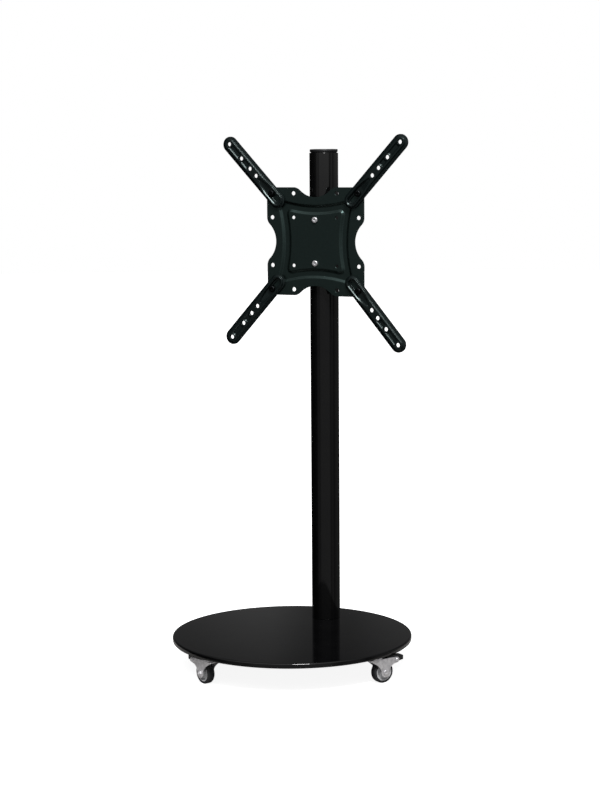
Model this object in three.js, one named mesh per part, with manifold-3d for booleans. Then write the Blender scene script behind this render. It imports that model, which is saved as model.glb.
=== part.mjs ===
// Mobile TV stand: a round steel base on four braked swivel casters, one round pole set behind the
// centre, and a stamped screen plate with four swinging arms.
// Millimetres, +Z up. The origin is on the floor under the centre of the base, the screen side is -Y.
import * as THREE from 'three';
import { mergeVertices } from 'three/addons/utils/BufferGeometryUtils.js';
import Module from 'manifold-3d';

const wasm = await Module();
wasm.setup();

// Fits and cuts
const seatGap = 0.3; // air between two pieces that seat on each other
const boreClearance = 0.3; // radial air round a screw, pin or plug
const cutOverrun = 5; // how far a cutting tool runs past the face it opens

// Base plate
const rideHeight = 54; // floor to the underside of the base
const baseRadius = 247.5;
const baseThickness = 10;
const baseEdgeRound = 3;
const baseLowerChamfer = 1;

// Pole and its foot
const poleMargin = 88.5; // pole axis to the rear edge of the base
const poleRadius = 30;
const poleWall = 2;
const poleLength = 988;
const footPlugHeight = 14;
const footBoltCircleRadius = 17;
const footScrewCount = 4;
const footScrewRadius = 4;
const footScrewLength = 21;
const footHeadRadius = 7.8;
const footHeadHeight = 4.4;
const footHeadRecess = 0.5; // how far the countersunk heads lie inside the base
const footSocketRadius = 2.9;
const footSocketDepth = 3;

// Cap on the pole
const capFlangeRadius = 29.2;
const capFlangeHeight = 7.4;
const capEdgeRound = 1.2;
const capUnderChamfer = 2.4;
const capSkirtWall = 2.2;
const capSkirtDepth = 16;
const capRibCount = 4;
const capRibWidth = 3;
const capRibLift = 0.2;

// Saddle between the pole and the screen plate
const plateStandoff = 42.5; // pole axis to the front face of the screen plate
const saddleWidth = 38;
const saddleMargin = 6.3; // each end of the saddle to the pressed groove's inner edge
const saddleCornerRound = 4;

// Screen plate
const plateDrop = 183.3; // pole's top edge to the centre of the plate
const plateSheet = 2.5;
const plateMargin = 12.5; // outermost screen holes to the plate's edge
const plateCornerRound = 11.5;
const scallopRadius = 50;
const scallopDepthTop = 20.4;
const scallopDepthSide = 20.9;
const scallopLipRound = 21;
const scallopAngleTop = 40 * Math.PI / 180;
const scallopAngleSide = 45 * Math.PI / 180;
const grooveDepth = 4;
const grooveWall = 4; // width of each sloping side of the pressed groove
const grooveSideMargin = 39; // plate's edge line to the groove's rim, at the middle of a side
const grooveCornerMargin = 30.5; // and near a corner
const grooveOuterRound = 14;
const grooveSideWidth = 15.2;
const grooveCornerWidth = 18.5;
const grooveInnerRound = 12;
const screenSpanWide = 200; // holes of the screen pattern, centre to centre
const screenSpanNarrow = 100;
const flangeHoleRadius = 4.35;
const innerHoleRadius = 3.6;

// Screws that hold the plate to the pole
const centreScrewMargin = 7; // each screw to the end of the saddle
const centreScrewRadius = 4;
const centreHeadRadius = 6.2;
const centreHeadHeight = 3.6;
const centreHeadRound = 1.6;
const centreSocketRadius = 2.6;
const centreSocketDepth = 2.2;
const rivetNutWall = 1.6;
const rivetNutLength = 14;
const rivetNutFlangeRadius = 7.5;
const rivetNutFlangeHeight = 1.2;

// Arms
const armWidth = 33;
const armInnerReach = 36.5; // pivot to the inner tip
const armHoleFirst = 50; // pivot to each screen hole
const armHoleSecond = 70.71;
const armHoleThird = 100;
const armHoleFourth = 141.42;
const armOuterMargin = 15.6; // outermost hole to the outer tip
const armShoulder = 5.5; // height of the sheet beside the raised crown
const armShoulderWidth = 5.2; // the shoulder falls away over this width
const armShoulderFall = 3.2;
const armSheet = 2.5;
const crownLift = 2.6;
const crownSlope = 1.3;
const crownHalfPivot = 12.8; // half the crown's width round the pivot screw
const crownHalfRun = 10.2; // and along the holes
const crownWideTo = 8; // where its wide part ends, from the pivot
const crownRunFrom = 36;
const windowHalf = 4.6; // half the floor width of the sunken windows between holes
const windowHoleMargin = 8.2; // hole centre to the hollow end of a window floor
const pocketHalf = 7.8; // half the pivot pocket's width
const pocketWideTo = 6;
const pocketTipAt = 38;
const pocketTipRound = 2.3;
const pocketFlatTo = 13; // the pocket floor runs this far past the pivot, then ramps up
const pocketRampTo = 34;
const armHoleRadius = 4.5;
const slotTravel = 20;
const armAngles = {
  upper_left: 46.5 * Math.PI / 180,
  upper_right: 47.2 * Math.PI / 180,
  lower_left: 47.6 * Math.PI / 180,
  lower_right: 49.7 * Math.PI / 180,
};

// Pivot screws of the arms
const pivotScrewRadius = 4;
const pivotHeadRadius = 7;
const pivotHeadHeight = 4.2;
const pivotHeadRound = 2.2;
const pivotSocketRadius = 2.9;
const pivotSocketDepth = 2.4;
const pivotThreadPastNut = 2;
const nutFlats = 13;
const nutHeight = 6.5;
const nutFlangeRadius = 8.6;
const nutFlangeHeight = 1.4;

// Casters, from the swivel axis, with +X towards the wheel's trailing side
const casterMargin = 16.5; // each swivel axis to the edge of the base
const casterFirstAngle = -17.5 * Math.PI / 180;
const casterTrailAngles = [60, 335, 240, 155]; // direction each wheel trails in, degrees from +X
const wheelHeadroom = 9; // top of each wheel to the underside of the base
const wheelTrail = 18;
const tyreWidth = 17;
const tyreShoulder = 4.5;
const tyreDepth = 4.9;
const coreRimWidth = 15;
const coreRimWall = 2.6;
const coreWebWidth = 6;
const coreHubRadius = 7;
const forkInnerWidth = 22;
const forkSheet = 2;
const forkHeadroom = 3.2; // top of the fork to the underside of the base
const forkNoseReach = 19;
const forkAxleEar = 9.6; // radius of the fork's lower end
const forkRaceOuter = 15;
const forkRaceInner = 11;
const forkRaceLift = 1.4;
const leverPivotReach = 46;
const leverPivotDrop = 5.8; // top of the fork to the lever's pin
const axleRadius = 3;
const axleHeadRadius = 5.4;
const axleHeadHeight = 2.6;
const axleHeadRound = 1.2;
const axleNutFlats = 10;
const axleNutHeight = 4;
const axleTail = 1.5;
const axleSocketRadius = 2.1;
const axleSocketDepth = 1.3;
const stemRadius = 4;
const stemDepth = 8; // how far the stem screws up into the base
const stemFlangeRadius = 16.5;
const stemFlangeHeight = 1.2;
const kingpinRadius = 4.5;
const kingpinHeadRadius = 8;
const kingpinHeadHeight = 1.8;
const leverToeReach = 19; // from the lever's pin outwards
const leverTailReach = 21; // and inwards, over the wheel
const leverLift = 0.4; // how far the lever stands above the fork
const leverSheet = 2.4;
const leverToeDepth = 8.4;
const leverToeRound = 5;
const leverBossRadius = 4.6;
const leverCamHeel = 3.4; // width of the cam's face on the tyre
const leverPinRadius = 2;
const leverPinHeadRadius = 4.2;
const leverPinHeadHeight = 2;
const leverPinHeadRound = 1.1;

const quarterTurn = Math.PI / 2;
const halfTurn = Math.PI;
const hexSides = 6;
const smallSides = 10;
const holeSides = 12;
const wheelSides = 18;
const poleSides = 36;
const baseSides = 72;

// Sizes that follow from the ones above
const poleSetback = baseRadius - poleMargin; // pole axis behind the centre of the base
const casterCircleRadius = baseRadius - casterMargin;
const plateHalf = screenSpanWide / 2 + plateMargin;
const grooveOuterSide = plateHalf - grooveSideMargin;
const grooveOuterCorner = plateHalf - grooveCornerMargin;
const grooveInnerSide = grooveOuterSide - grooveSideWidth;
const grooveInnerCorner = grooveOuterCorner - grooveCornerWidth;
const saddleHeight = 2 * (grooveInnerSide - saddleMargin);
const centreScrewSpan = saddleHeight - 2 * centreScrewMargin;
const armHolePlaces = [armHoleFirst, armHoleSecond, armHoleThird, armHoleFourth];
const windowHolePairs = [[armHoleSecond, armHoleThird], [armHoleThird, armHoleFourth]];
const poleInnerRadius = poleRadius - poleWall;
const plugRadius = poleInnerRadius - boreClearance;
const baseTop = rideHeight + baseThickness;
const poleBottom = baseTop + seatGap;
const poleTop = poleBottom + poleLength;
const plateHeight = poleTop - plateDrop;
const casterCount = casterTrailAngles.length;
const wheelRadius = (rideHeight - wheelHeadroom) / 2;
const coreRadius = wheelRadius - tyreDepth;
const forkTop = rideHeight - forkHeadroom;
const leverPivotHeight = forkTop - leverPivotDrop;
const rivetNutRadius = centreScrewRadius + boreClearance + rivetNutWall;
const rivetBore = rivetNutRadius + boreClearance;
const armOuterReach = armHoleFourth + armOuterMargin;
const armCorners = {
  upper_left: [-screenSpanWide / 2, screenSpanWide / 2],
  upper_right: [screenSpanWide / 2, screenSpanWide / 2],
  lower_left: [-screenSpanWide / 2, -screenSpanWide / 2],
  lower_right: [screenSpanWide / 2, -screenSpanWide / 2],
};

const finishes = {
  glossBlack: { color: 0x0c0c0d, roughness: 0.18, metalness: 0.1 },
  satinBlack: { color: 0x141a1a, roughness: 0.45, metalness: 0.1 },
  black: { color: 0x101314, roughness: 0.4, metalness: 0.1 },
  zinc: { color: 0xb9bbbd, roughness: 0.32, metalness: 0.9 },
  blackScrew: { color: 0x17191a, roughness: 0.4, metalness: 0.6 },
  blackPlastic: { color: 0x111112, roughness: 0.5, metalness: 0 },
  tyre: { color: 0x191a1c, roughness: 0.7, metalness: 0 },
  core: { color: 0xa9abae, roughness: 0.45, metalness: 0 },
};

// Turns a closed three.js geometry into a solid that can be joined and cut.
function solid(geometry) {
  const bare = geometry.clone();
  for (const name of Object.keys(bare.attributes)) {
    if (name !== 'position') bare.deleteAttribute(name);
  }
  const merged = mergeVertices(bare);
  const position = merged.attributes.position;
  const corners = [new THREE.Vector3(), new THREE.Vector3(), new THREE.Vector3()];
  const triVerts = [];
  let volume = 0;
  for (let i = 0; i < merged.index.count; i += 3) {
    const [a, b, c] = [0, 1, 2].map((k) => merged.index.getX(i + k));
    if (a === b || b === c || c === a) continue;
    [a, b, c].forEach((vertex, k) => corners[k].fromBufferAttribute(position, vertex));
    volume += corners[0].dot(corners[1].clone().cross(corners[2]));
    triVerts.push(a, b, c);
  }
  if (volume < 0) triVerts.reverse();
  const mesh = new wasm.Mesh({
    numProp: 3,
    vertProperties: new Float32Array(position.array),
    triVerts: new Uint32Array(triVerts),
  });
  return new wasm.Manifold(mesh);
}

function geometryOf(body) {
  const mesh = body.getMesh();
  const geometry = new THREE.BufferGeometry();
  geometry.setAttribute('position', new THREE.BufferAttribute(mesh.vertProperties, mesh.numProp));
  geometry.setIndex(new THREE.BufferAttribute(mesh.triVerts, 1));
  geometry.computeVertexNormals();
  return geometry;
}

function cut(body, tools) {
  return tools.reduce((left, tool) => left.subtract(tool), body);
}

function join(bodies) {
  return bodies.reduce((left, right) => left.add(right));
}

// A profile of [radius, height] pairs turned about the Z axis.
function turned(profile, sides) {
  const points = profile.map(([radius, height]) => new THREE.Vector2(radius, height));
  return new THREE.LatheGeometry(points, sides).rotateX(quarterTurn);
}

// A round bar along Z, or a hexagonal one with six sides, from low to high.
function bar(radius, low, high, sides, x = 0, y = 0) {
  const geometry = new THREE.CylinderGeometry(radius, radius, high - low, sides);
  return solid(geometry.rotateX(quarterTurn).translate(x, y, (low + high) / 2));
}

// An outline pushed along Z from low to high.
function prism(shape, low, high, curveSegments = 3) {
  const depth = high - low;
  const geometry = new THREE.ExtrudeGeometry(shape, { depth, bevelEnabled: false, curveSegments });
  return solid(geometry.translate(0, 0, low));
}

// The same with its rim drawn in at both ends, by size over a height of rise.
function taperedPrism(shape, low, high, size, rise, curveSegments = 3) {
  const geometry = new THREE.ExtrudeGeometry(shape, {
    depth: high - low - 2 * rise,
    bevelEnabled: true,
    bevelThickness: rise,
    bevelSize: size,
    bevelOffset: -size,
    bevelSegments: 1,
    curveSegments,
  });
  return solid(geometry.translate(0, 0, low + rise));
}

function block(lowX, highX, lowY, highY, lowZ, highZ) {
  const geometry = new THREE.BoxGeometry(highX - lowX, highY - lowY, highZ - lowZ);
  return solid(geometry.translate((lowX + highX) / 2, (lowY + highY) / 2, (lowZ + highZ) / 2));
}

// The quarter circle of a rounded edge, as profile points, from one tangent point to the other.
function roundedCorner(centreRadius, centreHeight, radius, fromAngle, toAngle, steps) {
  const points = [];
  for (let i = 0; i <= steps; i += 1) {
    const angle = fromAngle + (toAngle - fromAngle) * i / steps;
    points.push([centreRadius + radius * Math.cos(angle), centreHeight + radius * Math.sin(angle)]);
  }
  return points;
}

function named(name, body, finish) {
  const geometry = body instanceof THREE.BufferGeometry ? body : geometryOf(body);
  const mesh = new THREE.Mesh(geometry, new THREE.MeshStandardMaterial(finishes[finish]));
  mesh.name = name;
  return mesh;
}

// Screw shared by every joint: a round-edged head over a plain shank, with a hexagon socket.
// The head's underside is at zero and the shank runs down to -length.
function panScrew(shankRadius, length, headRadius, headHeight, headRound, socketRadius, socketDepth) {
  const rim = headRadius - headRound;
  const profile = [
    [0, -length],
    [shankRadius, -length],
    [shankRadius, 0],
    [headRadius, 0],
    ...roundedCorner(rim, headHeight - headRound, headRound, 0, quarterTurn, 2),
    [0, headHeight],
  ];
  const socket = bar(socketRadius, headHeight - socketDepth, headHeight + cutOverrun, hexSides);
  return cut(solid(turned(profile, holeSides)), [socket]);
}

function casterPlace(index) {
  const angle = casterFirstAngle + index * 2 * halfTurn / casterCount;
  return [casterCircleRadius * Math.cos(angle), casterCircleRadius * Math.sin(angle)];
}

function footScrewPlace(index) {
  const angle = (2 * index + 1) * halfTurn / footScrewCount;
  return [footBoltCircleRadius * Math.cos(angle), poleSetback + footBoltCircleRadius * Math.sin(angle)];
}

function basePlate() {
  const rim = baseRadius - baseEdgeRound;
  const profile = [
    [0, rideHeight],
    [baseRadius - baseLowerChamfer, rideHeight],
    [baseRadius, rideHeight + baseLowerChamfer],
    ...roundedCorner(rim, baseTop - baseEdgeRound, baseEdgeRound, 0, quarterTurn, 2),
    [0, baseTop],
  ];
  const tools = [];
  for (let i = 0; i < footScrewCount; i += 1) {
    const [x, y] = footScrewPlace(i);
    const clear = footScrewRadius + boreClearance;
    const mouth = footHeadRadius + boreClearance;
    const sink = [
      [0, rideHeight - cutOverrun],
      [mouth, rideHeight - cutOverrun],
      [mouth, rideHeight + footHeadRecess],
      [clear, rideHeight + footHeadRecess + footHeadHeight],
      [clear, baseTop + cutOverrun],
      [0, baseTop + cutOverrun],
    ];
    tools.push(solid(turned(sink, smallSides).translate(x, y, 0)));
  }
  for (let i = 0; i < casterCount; i += 1) {
    const [x, y] = casterPlace(i);
    const blindEnd = rideHeight + stemDepth + seatGap;
    tools.push(bar(stemRadius + boreClearance, rideHeight - cutOverrun, blindEnd, smallSides, x, y));
  }
  return cut(solid(turned(profile, baseSides)), tools);
}

function poleTube() {
  const profile = [
    [poleInnerRadius, poleBottom],
    [poleRadius, poleBottom],
    [poleRadius, poleTop],
    [poleInnerRadius, poleTop],
    [poleInnerRadius, poleBottom],
  ];
  const tube = solid(turned(profile, poleSides));
  const reach = poleRadius + cutOverrun;
  const tools = [-1, 1].map((side) => {
    const hole = new THREE.CylinderGeometry(rivetBore, rivetBore, reach, holeSides);
    return solid(hole.translate(0, -reach / 2, plateHeight + side * centreScrewSpan / 2));
  });
  return cut(tube, tools);
}

function footPlug() {
  const plug = bar(plugRadius, poleBottom, poleBottom + footPlugHeight, poleSides, 0, poleSetback);
  const tools = [];
  for (let i = 0; i < footScrewCount; i += 1) {
    const [x, y] = footScrewPlace(i);
    const low = poleBottom - cutOverrun;
    const high = poleBottom + footPlugHeight + cutOverrun;
    tools.push(bar(footScrewRadius + boreClearance, low, high, smallSides, x, y));
  }
  return cut(plug, tools);
}

// Countersunk socket screw, head down, lying just inside the underside of the base.
function footScrew() {
  const low = rideHeight + footHeadRecess + seatGap;
  const profile = [
    [0, low],
    [footHeadRadius - boreClearance, low],
    [footScrewRadius, low + footHeadHeight],
    [footScrewRadius, low + footScrewLength],
    [0, low + footScrewLength],
  ];
  const socket = bar(footSocketRadius, low - cutOverrun, low + footSocketDepth, hexSides);
  return cut(solid(turned(profile, smallSides)), [socket]);
}

// A push-in cap: a round-edged disc, drawn in underneath, on a ribbed skirt inside the tube.
function endCap() {
  const low = poleTop + seatGap;
  const high = low + capFlangeHeight;
  const skirtOuter = plugRadius - capRibLift;
  const skirtInner = skirtOuter - capSkirtWall;
  const profile = [
    [0, low],
    [skirtInner, low],
    [skirtInner, low - capSkirtDepth],
    [skirtOuter, low - capSkirtDepth],
    [skirtOuter, low],
    [capFlangeRadius - capUnderChamfer, low],
    [capFlangeRadius, low + capUnderChamfer],
    ...roundedCorner(capFlangeRadius - capEdgeRound, high - capEdgeRound, capEdgeRound, 0, quarterTurn, 1),
    [0, high],
  ];
  const ribs = [];
  for (let i = 0; i < capRibCount; i += 1) {
    const rib = block(skirtInner, plugRadius, -capRibWidth / 2, capRibWidth / 2, low - capSkirtDepth, low);
    ribs.push(rib.rotate([0, 0, 360 * i / capRibCount]));
  }
  return join([solid(turned(profile, poleSides)), ...ribs]);
}

// A cast block with a hollow back that fits the round pole. In the panel's frame.
function saddle() {
  const front = -plateSheet - seatGap;
  const shape = roundedRectangle(saddleWidth, saddleHeight, saddleCornerRound);
  const blank = prism(shape, -plateStandoff, front, 4);
  const hollow = new THREE.CylinderGeometry(
    poleRadius + seatGap,
    poleRadius + seatGap,
    saddleHeight + 2 * cutOverrun,
    poleSides,
  );
  const tools = [solid(hollow.translate(0, 0, -plateStandoff))];
  for (const side of [-1, 1]) {
    const y = side * centreScrewSpan / 2;
    const counterbore = rivetNutFlangeRadius + boreClearance;
    const deep = poleRadius + rivetNutFlangeHeight + 2 * seatGap - plateStandoff;
    tools.push(bar(centreScrewRadius + boreClearance, -plateStandoff, cutOverrun, holeSides, 0, y));
    tools.push(bar(counterbore, -plateStandoff, deep, holeSides, 0, y));
  }
  return cut(blank, tools);
}

function roundedRectangle(width, height, round) {
  const [x, y] = [width / 2 - round, height / 2 - round];
  const shape = new THREE.Shape();
  shape.absarc(x, y, round, 0, quarterTurn);
  shape.absarc(-x, y, round, quarterTurn, halfTurn);
  shape.absarc(-x, -y, round, halfTurn, halfTurn + quarterTurn);
  shape.absarc(x, -y, round, halfTurn + quarterTurn, 2 * halfTurn);
  return shape;
}

// One edge of the screen plate seen with its outside up: corner, flat, S-shaped flank, hollow.
// The points run from the right corner to the left corner.
function scallopedEdge(depth, flankAngle) {
  const lipDrop = scallopLipRound * (1 - Math.cos(flankAngle));
  const hollowRise = scallopRadius * (1 - Math.cos(flankAngle));
  const flankLength = Math.max(0, depth - lipDrop - hollowRise) / Math.sin(flankAngle);
  const hollowHalf = scallopRadius * Math.sin(flankAngle);
  const lipCentre = hollowHalf + flankLength * Math.cos(flankAngle) + scallopLipRound * Math.sin(flankAngle);
  const path = new THREE.Path();
  const lipLow = plateHalf - scallopLipRound;
  const hollowCentre = plateHalf - depth + scallopRadius;
  path.absarc(plateHalf - plateCornerRound, plateHalf - plateCornerRound, plateCornerRound, 0, quarterTurn);
  path.absarc(lipCentre, lipLow, scallopLipRound, quarterTurn, quarterTurn + flankAngle);
  path.absarc(0, hollowCentre, scallopRadius, flankAngle - quarterTurn, -flankAngle - quarterTurn, true);
  path.absarc(-lipCentre, lipLow, scallopLipRound, quarterTurn - flankAngle, quarterTurn);
  return path.getPoints(3);
}

function plateOutline() {
  const points = [];
  for (let turn = 0; turn < 4; turn += 1) {
    const onSide = turn % 2 === 1;
    const edge = scallopedEdge(
      onSide ? scallopDepthSide : scallopDepthTop,
      onSide ? scallopAngleSide : scallopAngleTop,
    );
    const origin = new THREE.Vector2();
    points.push(...edge.map((point) => point.rotateAround(origin, turn * quarterTurn)));
  }
  return new THREE.Shape(points);
}

// A square with drawn-in sides and soft corners, the outline of the pressed groove.
function dishedSquare(side, corner, round, grow) {
  const middle = side + grow;
  const end = corner + grow;
  const along = end - round;
  const pull = 2 * middle - end;
  const slope = (end - pull) / along;
  const tip = (end - slope * along) / (1 - slope);
  const shape = new THREE.Shape();
  shape.moveTo(along, end);
  shape.quadraticCurveTo(0, pull, -along, end);
  shape.quadraticCurveTo(-tip, tip, -end, along);
  shape.quadraticCurveTo(-pull, 0, -end, -along);
  shape.quadraticCurveTo(-tip, -tip, -along, -end);
  shape.quadraticCurveTo(0, -pull, along, -end);
  shape.quadraticCurveTo(tip, -tip, end, -along);
  shape.quadraticCurveTo(pull, 0, end, along);
  shape.quadraticCurveTo(tip, tip, along, end);
  return shape;
}

// The pressed ring: narrow at its floor and wider at the face, pressed down from level top.
function grooveRing(top, floor) {
  const ring = dishedSquare(grooveOuterSide, grooveOuterCorner, grooveOuterRound, 0);
  ring.holes.push(dishedSquare(grooveInnerSide, grooveInnerCorner, grooveInnerRound, 0));
  const rise = top - floor;
  return taperedPrism(ring, floor, top + rise, grooveWall, rise, 4);
}

function screenHolePlaces() {
  const [wide, narrow] = [screenSpanWide / 2, screenSpanNarrow / 2];
  const flange = [];
  const inner = [];
  for (const x of [-1, 1]) {
    for (const y of [-1, 1]) {
      flange.push([x * wide, y * narrow], [x * narrow, y * wide]);
      inner.push([x * narrow, y * narrow]);
    }
  }
  return { flange, inner };
}

// The stamped screen plate, in the panel's frame: front face at zero, +Z towards the screen.
function screenPlate() {
  const sheet = prism(plateOutline(), -plateSheet, 0);
  const ridge = grooveRing(-plateSheet, -plateSheet - grooveDepth);
  const aboveFace = block(-plateHalf, plateHalf, -plateHalf, plateHalf, 0, cutOverrun + grooveDepth);
  const tools = [aboveFace, grooveRing(0, -grooveDepth)];
  const { flange, inner } = screenHolePlaces();
  const low = -plateSheet - cutOverrun;
  for (const [x, y] of flange) tools.push(bar(flangeHoleRadius, low, cutOverrun, holeSides, x, y));
  for (const [x, y] of inner) tools.push(bar(innerHoleRadius, low, cutOverrun, holeSides, x, y));
  for (const side of [-1, 1]) {
    const y = side * centreScrewSpan / 2;
    tools.push(bar(centreScrewRadius + boreClearance, low, cutOverrun, holeSides, 0, y));
  }
  for (const [x, y] of Object.values(armCorners)) {
    tools.push(bar(pivotScrewRadius + boreClearance, low, cutOverrun, holeSides, x, y));
  }
  return cut(join([sheet, ridge]), tools);
}

// A strap with round ends, grown by grow all round.
function armOutline(grow) {
  const half = armWidth / 2 + grow;
  const inner = armWidth / 2 - armInnerReach;
  const outer = armOuterReach - armWidth / 2;
  const shape = new THREE.Shape();
  shape.absarc(outer, 0, half, -quarterTurn, quarterTurn);
  shape.absarc(inner, 0, half, quarterTurn, halfTurn + quarterTurn);
  return shape;
}

// The raised crown of an arm: wide round the pivot, then a narrower run round the last hole.
function crownOutline() {
  const bend = (crownWideTo + crownRunFrom) / 2;
  const shape = new THREE.Shape();
  shape.absarc(armHoleFourth, 0, crownHalfRun, -quarterTurn, quarterTurn);
  shape.lineTo(crownRunFrom, crownHalfRun);
  shape.bezierCurveTo(bend, crownHalfRun, bend, crownHalfPivot, crownWideTo, crownHalfPivot);
  shape.absarc(-slotTravel, 0, crownHalfPivot, quarterTurn, halfTurn + quarterTurn);
  shape.lineTo(crownWideTo, -crownHalfPivot);
  shape.bezierCurveTo(bend, -crownHalfPivot, bend, -crownHalfRun, crownRunFrom, -crownHalfRun);
  return shape;
}

// The pocket round the pivot screw, drawn in to a small round tip before the first hole.
function pocketOutline(grow) {
  const wide = pocketHalf + grow;
  const tip = pocketTipRound + grow;
  const shape = new THREE.Shape();
  shape.absarc(pocketTipAt, 0, tip, -quarterTurn, quarterTurn);
  shape.quadraticCurveTo(pocketFlatTo, wide, pocketWideTo, wide);
  shape.absarc(-slotTravel, 0, wide, quarterTurn, halfTurn + quarterTurn);
  shape.lineTo(pocketWideTo, -wide);
  shape.quadraticCurveTo(pocketFlatTo, -wide, pocketTipAt, -tip);
  return shape;
}

// A sunken window between two holes. Its ends are hollow and follow the holes.
function windowOutline(from, to, grow) {
  const half = windowHalf + grow;
  const round = windowHoleMargin - grow;
  const spread = Math.asin(half / round);
  const shape = new THREE.Shape();
  shape.absarc(to, 0, round, halfTurn + spread, halfTurn - spread, true);
  shape.absarc(from, 0, round, spread, -spread, true);
  return shape;
}

// Side view of the pivot pocket, as a block as wide as the arm: a floor, then a ramp up to level.
function pocketSide(floor, level, top) {
  const start = -armInnerReach - cutOverrun;
  const shape = new THREE.Shape();
  shape.moveTo(start, floor);
  shape.lineTo(pocketFlatTo, floor);
  shape.lineTo(pocketRampTo, level);
  shape.lineTo(pocketRampTo, top);
  shape.lineTo(start, top);
  const geometry = new THREE.ExtrudeGeometry(shape, { depth: armWidth, bevelEnabled: false });
  return solid(geometry.rotateX(quarterTurn).translate(0, armWidth / 2, 0));
}

// A stamped arm: turned-down rim, falling shoulders, a raised crown with sunken windows between the
// holes, and a deep pocket with a slot at the pivot. The pivot is at zero, +X points outwards.
function arm() {
  const top = armShoulder + crownLift;
  const ceiling = armShoulder - armSheet;
  const [fall, width] = [armShoulderFall, armShoulderWidth];
  const body = taperedPrism(armOutline(0), -fall, armShoulder, width, fall, 4);
  const crown = taperedPrism(crownOutline(), armShoulder - crownLift, top, crownSlope, crownLift);
  const aboveTop = top + 2 * crownLift;
  const overTop = top + cutOverrun;
  const sunken = [pocketOutline(crownSlope)];
  for (const [from, to] of windowHolePairs) sunken.push(windowOutline(from, to, crownSlope));
  const tools = sunken.map((shape) => taperedPrism(shape, armShoulder, aboveTop, crownSlope, crownLift));
  tools.push(prism(pocketOutline(0), 0, overTop).intersect(pocketSide(armSheet, armShoulder, overTop)));
  const kept = prism(pocketOutline(armSheet), 0, top).intersect(pocketSide(0, ceiling, top));
  tools.push(prism(armOutline(-armSheet), -cutOverrun, ceiling).subtract(kept));
  tools.push(block(-armInnerReach, armOuterReach, -armWidth, armWidth, -cutOverrun, 0));
  for (const x of armHolePlaces) tools.push(bar(armHoleRadius, -cutOverrun, overTop, holeSides, x));
  tools.push(prism(slotOutline(), -cutOverrun, overTop));
  return cut(join([body, crown]), tools);
}

function slotOutline() {
  const half = pivotScrewRadius + boreClearance;
  const shape = new THREE.Shape();
  shape.absarc(0, 0, half, -quarterTurn, quarterTurn);
  shape.absarc(-slotTravel, 0, half, quarterTurn, halfTurn + quarterTurn);
  return shape;
}

function pivotScrew() {
  const length = armSheet + plateSheet + nutHeight + pivotThreadPastNut + 3 * seatGap;
  return panScrew(
    pivotScrewRadius,
    length,
    pivotHeadRadius,
    pivotHeadHeight,
    pivotHeadRound,
    pivotSocketRadius,
    pivotSocketDepth,
  );
}

// Centre to corner of a hexagon measured across its flats.
function hexCorner(flats) {
  return flats / 2 / Math.cos(halfTurn / hexSides);
}

// A flanged lock nut, its seat at zero and its body below.
function flangeNut() {
  const hex = bar(hexCorner(nutFlats), -nutHeight, 0, hexSides);
  const flange = bar(nutFlangeRadius, -nutFlangeHeight, 0, holeSides);
  const bore = bar(pivotScrewRadius + boreClearance, -nutHeight - cutOverrun, cutOverrun, smallSides);
  return cut(join([hex, flange]), [bore]);
}

function centreScrew() {
  const length = plateStandoff - poleRadius + rivetNutLength;
  return panScrew(
    centreScrewRadius,
    length,
    centreHeadRadius,
    centreHeadHeight,
    centreHeadRound,
    centreSocketRadius,
    centreSocketDepth,
  );
}

// A blind rivet nut in the wall of the pole: flange outside, sleeve inside. Flange seat at zero.
function rivetNut() {
  const inner = centreScrewRadius + boreClearance;
  const flangeTop = rivetNutFlangeHeight;
  const profile = [
    [inner, -rivetNutLength],
    [rivetNutRadius, -rivetNutLength],
    [rivetNutRadius, 0],
    [rivetNutFlangeRadius, 0],
    [rivetNutFlangeRadius, flangeTop],
    [inner, flangeTop],
    [inner, -rivetNutLength],
  ];
  return solid(turned(profile, holeSides));
}

// Stem, bearing flange and kingpin in one: it screws into the base and carries the fork.
function casterStem() {
  const flangeTop = rideHeight - seatGap;
  const flangeLow = flangeTop - stemFlangeHeight;
  const headTop = forkTop - forkSheet - seatGap;
  const profile = [
    [0, headTop - kingpinHeadHeight],
    [kingpinHeadRadius, headTop - kingpinHeadHeight],
    [kingpinHeadRadius, headTop],
    [kingpinRadius, headTop],
    [kingpinRadius, flangeLow],
    [stemFlangeRadius, flangeLow],
    [stemFlangeRadius, flangeTop],
    [stemRadius, flangeTop],
    [stemRadius, rideHeight + stemDepth],
    [0, rideHeight + stemDepth],
  ];
  return solid(turned(profile, holeSides));
}

// One cheek of the fork, seen from the side: X along the trail, Y up.
function cheekOutline() {
  const noseLow = forkTop - forkSheet;
  const shoulder = wheelRadius + forkAxleEar / 2 + forkAxleEar;
  const earLow = leverPivotHeight - leverPivotDrop;
  const [front, back] = [wheelTrail - forkAxleEar, wheelTrail + forkAxleEar];
  const shape = new THREE.Shape();
  shape.moveTo(-forkNoseReach, forkTop);
  shape.lineTo(-forkNoseReach, noseLow);
  shape.quadraticCurveTo(front, shoulder, front, wheelRadius);
  shape.absarc(wheelTrail, wheelRadius, forkAxleEar, halfTurn, 2 * halfTurn);
  shape.quadraticCurveTo(back, shoulder, leverPivotReach, earLow);
  shape.absarc(leverPivotReach, leverPivotHeight, leverPivotDrop, -quarterTurn, quarterTurn);
  return shape;
}

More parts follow.
